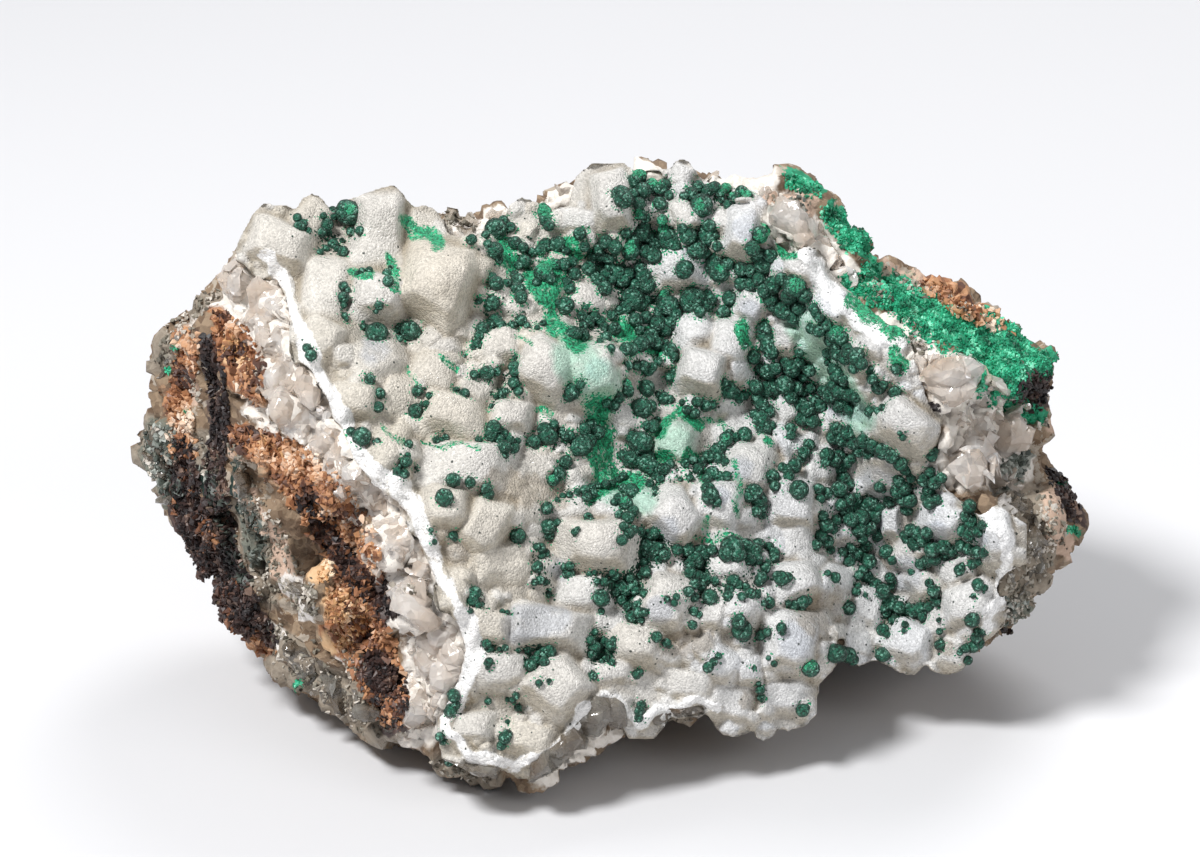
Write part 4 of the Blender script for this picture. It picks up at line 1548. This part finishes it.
def joinBalls(name, balls):
    allPoints, allFaces, start = [], [], 0
    for points, faces in balls:
        allPoints.append(points)
        allFaces.append(faces + start)
        start += len(points)
    thing = makeObject(name, np.concatenate(allPoints).tolist(), np.concatenate(allFaces).tolist())
    thing.data.shade_smooth()
    points = coordsOf(thing)
    x, y = pictureOf(points)
    storeMask(thing, "vivid", strokeMask(x, y, [[spot] for spot in vividTops]))
    away = 1 - (normalsOf(thing) * eyeward(points)).sum(axis=1)
    storeMask(thing, "foot", ramp(away, *malachite["foot"]) * greenZone(x, y))
    storeMask(thing, "gap", ramp(away, *malachite["gap"]))
    return thing


def greenZone(x, y):
    # the middle and the top of the hollow carry the most bright green
    middle = np.exp(-(((x - 600) / 170) ** 2 + ((y - 330) / 150) ** 2))
    right = np.exp(-(((x - 850) / 110) ** 2 + ((y - 330) / 80) ** 2))
    return np.clip(0.28 + middle + 0.6 * right, 0, 1)


def makeBalls(crust):
    rng = random.Random(5)
    growths = sorted(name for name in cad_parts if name.startswith("malachite"))
    outlines = {name: np.stack(pictureOf(coordsOf(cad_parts[name])), axis=1) for name in growths}
    owners = [name for name in growths for _ in outlines[name]]
    near = KDTree(len(owners))
    for i, (px, py) in enumerate(np.concatenate([outlines[name] for name in growths])):
        near.insert((px, py, 0), i)
    near.balance()
    groups = {name: [] for name in growths}
    loose = []
    centres = []
    for x, y, r in ballPlaces:
        line = sightLine(x, y)
        hit, normal = crust.ray_cast(eye, line)[:2]
        if hit is None:
            hit, normal = crust.find_nearest(eye + line * view["distance"])[:2]
        radius = r * view["pixel"]
        out = radius * (1 - malachite["sunk"])
        centre = hit - line * out * malachite["outward"] + normal * out * (1 - malachite["outward"])
        centres.append((centre, radius))
        level = 4 if r >= malachite["finePx"] else 3 if r > malachite["tinyPx"] else 2
        ball = lumpyBall(rng, centre, radius, level)
        _, index, away = near.find((x, y, 0))
        if away < max(malachite["joinPx"], r * 1.05):
            groups[owners[index]].append(ball)
        else:
            loose.append((x, y, ball))
    for name in growths:
        if not groups[name]:                                      # the nearest ball stands for the growth
            middle = outlines[name].mean(axis=0)
            loose.sort(key=lambda one: math.hypot(one[0] - middle[0], one[1] - middle[1]))
            groups[name].append(loose.pop(0)[2])
    sides = {"left": [ball for x, y, ball in loose if x < malachite["middlePx"]],
             "right": [ball for x, y, ball in loose if x >= malachite["middlePx"]]}
    print("balls in the growths:", sum(len(balls) for balls in groups.values()), "and loose:", len(loose))
    return groups, sides, centres


ballTones = {
    "base": (rgb(8, 42, 32), rgb(32, 88, 68)),
    "spark": rgb(128, 182, 162),
    "bright": (rgb(8, 92, 62), rgb(72, 190, 142)),
    "grainShade": (0.35, 1.8),
    "gapShade": (1.38, 0.2),
}


def ballMaterial():
    made, tree, shader = newMaterial("malachiteBall")
    at = place(tree)
    grains = put(tree, "ShaderNodeTexVoronoi", {"Vector": at, "Scale": 4400.0})
    parts = put(tree, "ShaderNodeSeparateColor", {"Color": grains.outputs["Color"]})
    base = mixColours(tree, noiseOf(tree, at, 420.0, 3.0), *ballTones["base"])
    colour = shaded(tree, base, parts.outputs["Red"], *ballTones["grainShade"])
    spark = remapped(tree, parts.outputs["Green"], (0.80, 0.95), (0.0, 0.6))
    colour = mixColours(tree, spark, colour, ballTones["spark"])
    colour = shaded(tree, colour, attribute(tree, "gap"), *ballTones["gapShade"])
    bright = mixColours(tree, parts.outputs["Blue"], *ballTones["bright"])
    fringe = stippled(tree, at, "foot", 0.00016, 0.7)
    tops = stippled(tree, at, "vivid", 0.00018, 0.85)
    colour = mixColours(tree, maths(tree, "MAXIMUM", fringe, tops), colour, bright)
    tree.links.new(colour, shader.inputs["Base Color"])
    rough = remapped(tree, parts.outputs["Green"], (0.0, 1.0), (0.62, 0.26))
    tree.links.new(rough, shader.inputs["Roughness"])
    fine = noiseOf(tree, at, 9000.0, 2.0, 0.6)
    height = maths(tree, "SUBTRACT", fine, maths(tree, "MULTIPLY", grains.outputs["Distance"], 1.4))
    bumped(tree, shader, height, 1.0, 0.00018)
    return made


def growthMasks(thing, centres):
    # dark moss where many balls crowd together, and a bright halo at the foot of each ball
    points = coordsOf(thing)
    tree = KDTree(len(centres))
    for i, (centre, _) in enumerate(centres):
        tree.insert(centre, i)
    tree.balance()
    moss, halo = np.zeros(len(points)), np.zeros(len(points))
    reach = malachite["crowdReach"]
    for k, point in enumerate(points):
        found = tree.find_range(Vector(point), reach)
        if found:
            moss[k] = sum(1 - far / reach for _, _, far in found)
            halo[k] = min(far - centres[i][1] for _, i, far in found)
        else:
            halo[k] = 1.0
    x, y = pictureOf(points)
    hollow = np.empty(len(points), np.float32)
    thing.data.attributes["hollow"].data.foreach_get("value", hollow)
    storeMask(thing, "moss", ramp(moss, *malachite["crowd"]) * ramp(hollow, 0.30, 0.62))
    halo = 1 - ramp(halo, 0.0, malachite["haloReach"])
    storeMask(thing, "halo", halo * greenZone(x, y) * malachite["haloStrength"])


def makeGrains(crust, centres):
    rng = random.Random(9)
    balls = []
    while len(balls) < malachite["grains"]:
        centre, radius = centres[rng.randrange(len(centres))]
        away = anyWay(rng) * radius * rng.uniform(*malachite["grainAway"])
        hit, normal = crust.ray_cast(eye, (centre + away - eye).normalized())[:2]
        if hit is None:
            continue
        size = rng.uniform(*malachite["grainPx"]) * view["pixel"]
        balls.append(lumpyBall(rng, hit + normal * size * 0.2, size, 1))
    return joinBalls("malachite_grains", balls)


# Put the specimen together

frosted = frostedQuartz()
stone = rockMaterial()
clear = clearMaterial("clearQuartz", clearTones)
smoky = clearMaterial("smokyQuartz", smokyTones)
green = ballMaterial()


def finishPiece(thing, material, slotName, *nodes):
    thing.data.materials.clear()
    thing.data.materials.append(material)
    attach(thing, "root")
    if nodes:
        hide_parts(*nodes)


xs = np.arange(*druse["xPx"], druse["stepPx"])
ys = np.arange(*druse["yPx"], druse["stepPx"])
gridX, gridY = np.meshgrid(xs, ys)
rockNode = treeOf(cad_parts["matrix_rock"])
crust = makeDruse(gridX, gridY, *lookThrough(treeOf(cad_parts["quartz_druse"]), rockNode, xs, ys))
crustTree = treeOf(crust)
groups, sides, centres = makeBalls(crustTree)
growthMasks(crust, centres)
crust.data.shade_smooth()
finishPiece(crust, frosted, "quartz", "quartz_druse")

rock, cover = makeRock(crustTree)
rockTree = treeOf(rock)
rock.data.shade_smooth()
finishPiece(rock, stone, "rock", "matrix_rock")

openCrust = np.full(len(crust.data.vertices), openAir)
for name, recipe in clearQuartz.items():
    base = (crust, crustTree, openCrust) if recipe.get("overCrust") else (rock, rockTree, cover)
    finishPiece(makeClear(name, *base), smoky if recipe.get("smoky") else clear, "quartz")
print("clear quartz set in the rock")

for name in grit:
    slotName = "malachite" if name == "velvet" else "rock"
    finishPiece(makeGrit(name, rockTree, crustTree), gritMaterial(name), slotName)
print("grit scattered")

for name, balls in groups.items():
    finishPiece(joinBalls(name.replace("malachite", "growth"), balls), green, "malachite", name)
for side, balls in sides.items():
    finishPiece(joinBalls("malachite_small_" + side, balls), green, "malachite")
finishPiece(makeGrains(crustTree, centres), green, "malachite")
print("malachite grown on the crust")

meshes = [thing for thing in bpy.context.scene.objects if thing.type == "MESH"]
counts = {thing.name: sum(len(face.vertices) - 2 for face in thing.data.polygons)
          for thing in meshes if thing.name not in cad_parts}
most = sorted(counts.items(), key=lambda item: -item[1])[:4]
print("triangles:", sum(counts.values()), "in all; most in", most)

# Stage

stage = {
    "floor": rgb(214, 214, 216),
    "floorHeight": -0.00002,
    "aim": (0, 0, 0.03),
    "sky": (0.86, 0.88, 0.92, 1.0),
    "skyStrength": 0.30,
    "key": {"at": (-0.34, -0.30, 0.66), "size": 0.20, "watts": 7.4},
    "fill": {"at": (0.55, -0.45, 0.40), "size": 0.40, "watts": 1.3},
    "back": {"at": (0.20, 0.45, 0.60), "size": 0.40, "watts": 2.5},
}


def makeStage():
    floor = makeObject("floor", [(-2, -2, 0), (2, -2, 0), (2, 2, 0), (-2, 2, 0)], [(0, 1, 2, 3)])
    made, _, shader = newMaterial("paleFloor")
    shader.inputs["Base Color"].default_value = stage["floor"]
    shader.inputs["Roughness"].default_value = 0.6
    floor.data.materials.append(made)
    floor.location.z = stage["floorHeight"]
    for name in ("key", "fill", "back"):
        light = bpy.data.lights.new(name, "AREA")
        light.shape = "DISK"
        light.size = stage[name]["size"]
        light.energy = stage[name]["watts"]
        lamp = bpy.data.objects.new(name, light)
        bpy.context.scene.collection.objects.link(lamp)
        lamp.location = stage[name]["at"]
        aim = Vector(stage["aim"]) - lamp.location
        lamp.rotation_euler = aim.to_track_quat("-Z", "Y").to_euler()
    world = bpy.data.worlds.new("studio")
    world.use_nodes = True
    world.node_tree.nodes["Background"].inputs["Color"].default_value = stage["sky"]
    world.node_tree.nodes["Background"].inputs["Strength"].default_value = stage["skyStrength"]
    bpy.context.scene.world = world
    bpy.context.scene.view_settings.view_transform = "Standard"


def makeCamera():
    lens = bpy.data.cameras.new("camera")
    across, down = view["imagePx"]
    lens.sensor_width = view["sensorMm"]
    lens.lens = view["sensorMm"] * view["distance"] / (view["pixel"] * across)
    lens.shift_x = (across / 2 - view["eyePx"][0]) / across
    lens.shift_y = (view["eyePx"][1] - down / 2) / across
    lens.clip_start = 0.01
    camera = bpy.data.objects.new("camera", lens)
    bpy.context.scene.collection.objects.link(camera)
    camera.location = eye
    camera.rotation_euler = faceTurn.to_euler()
    bpy.context.scene.camera = camera


makeStage()
makeCamera()
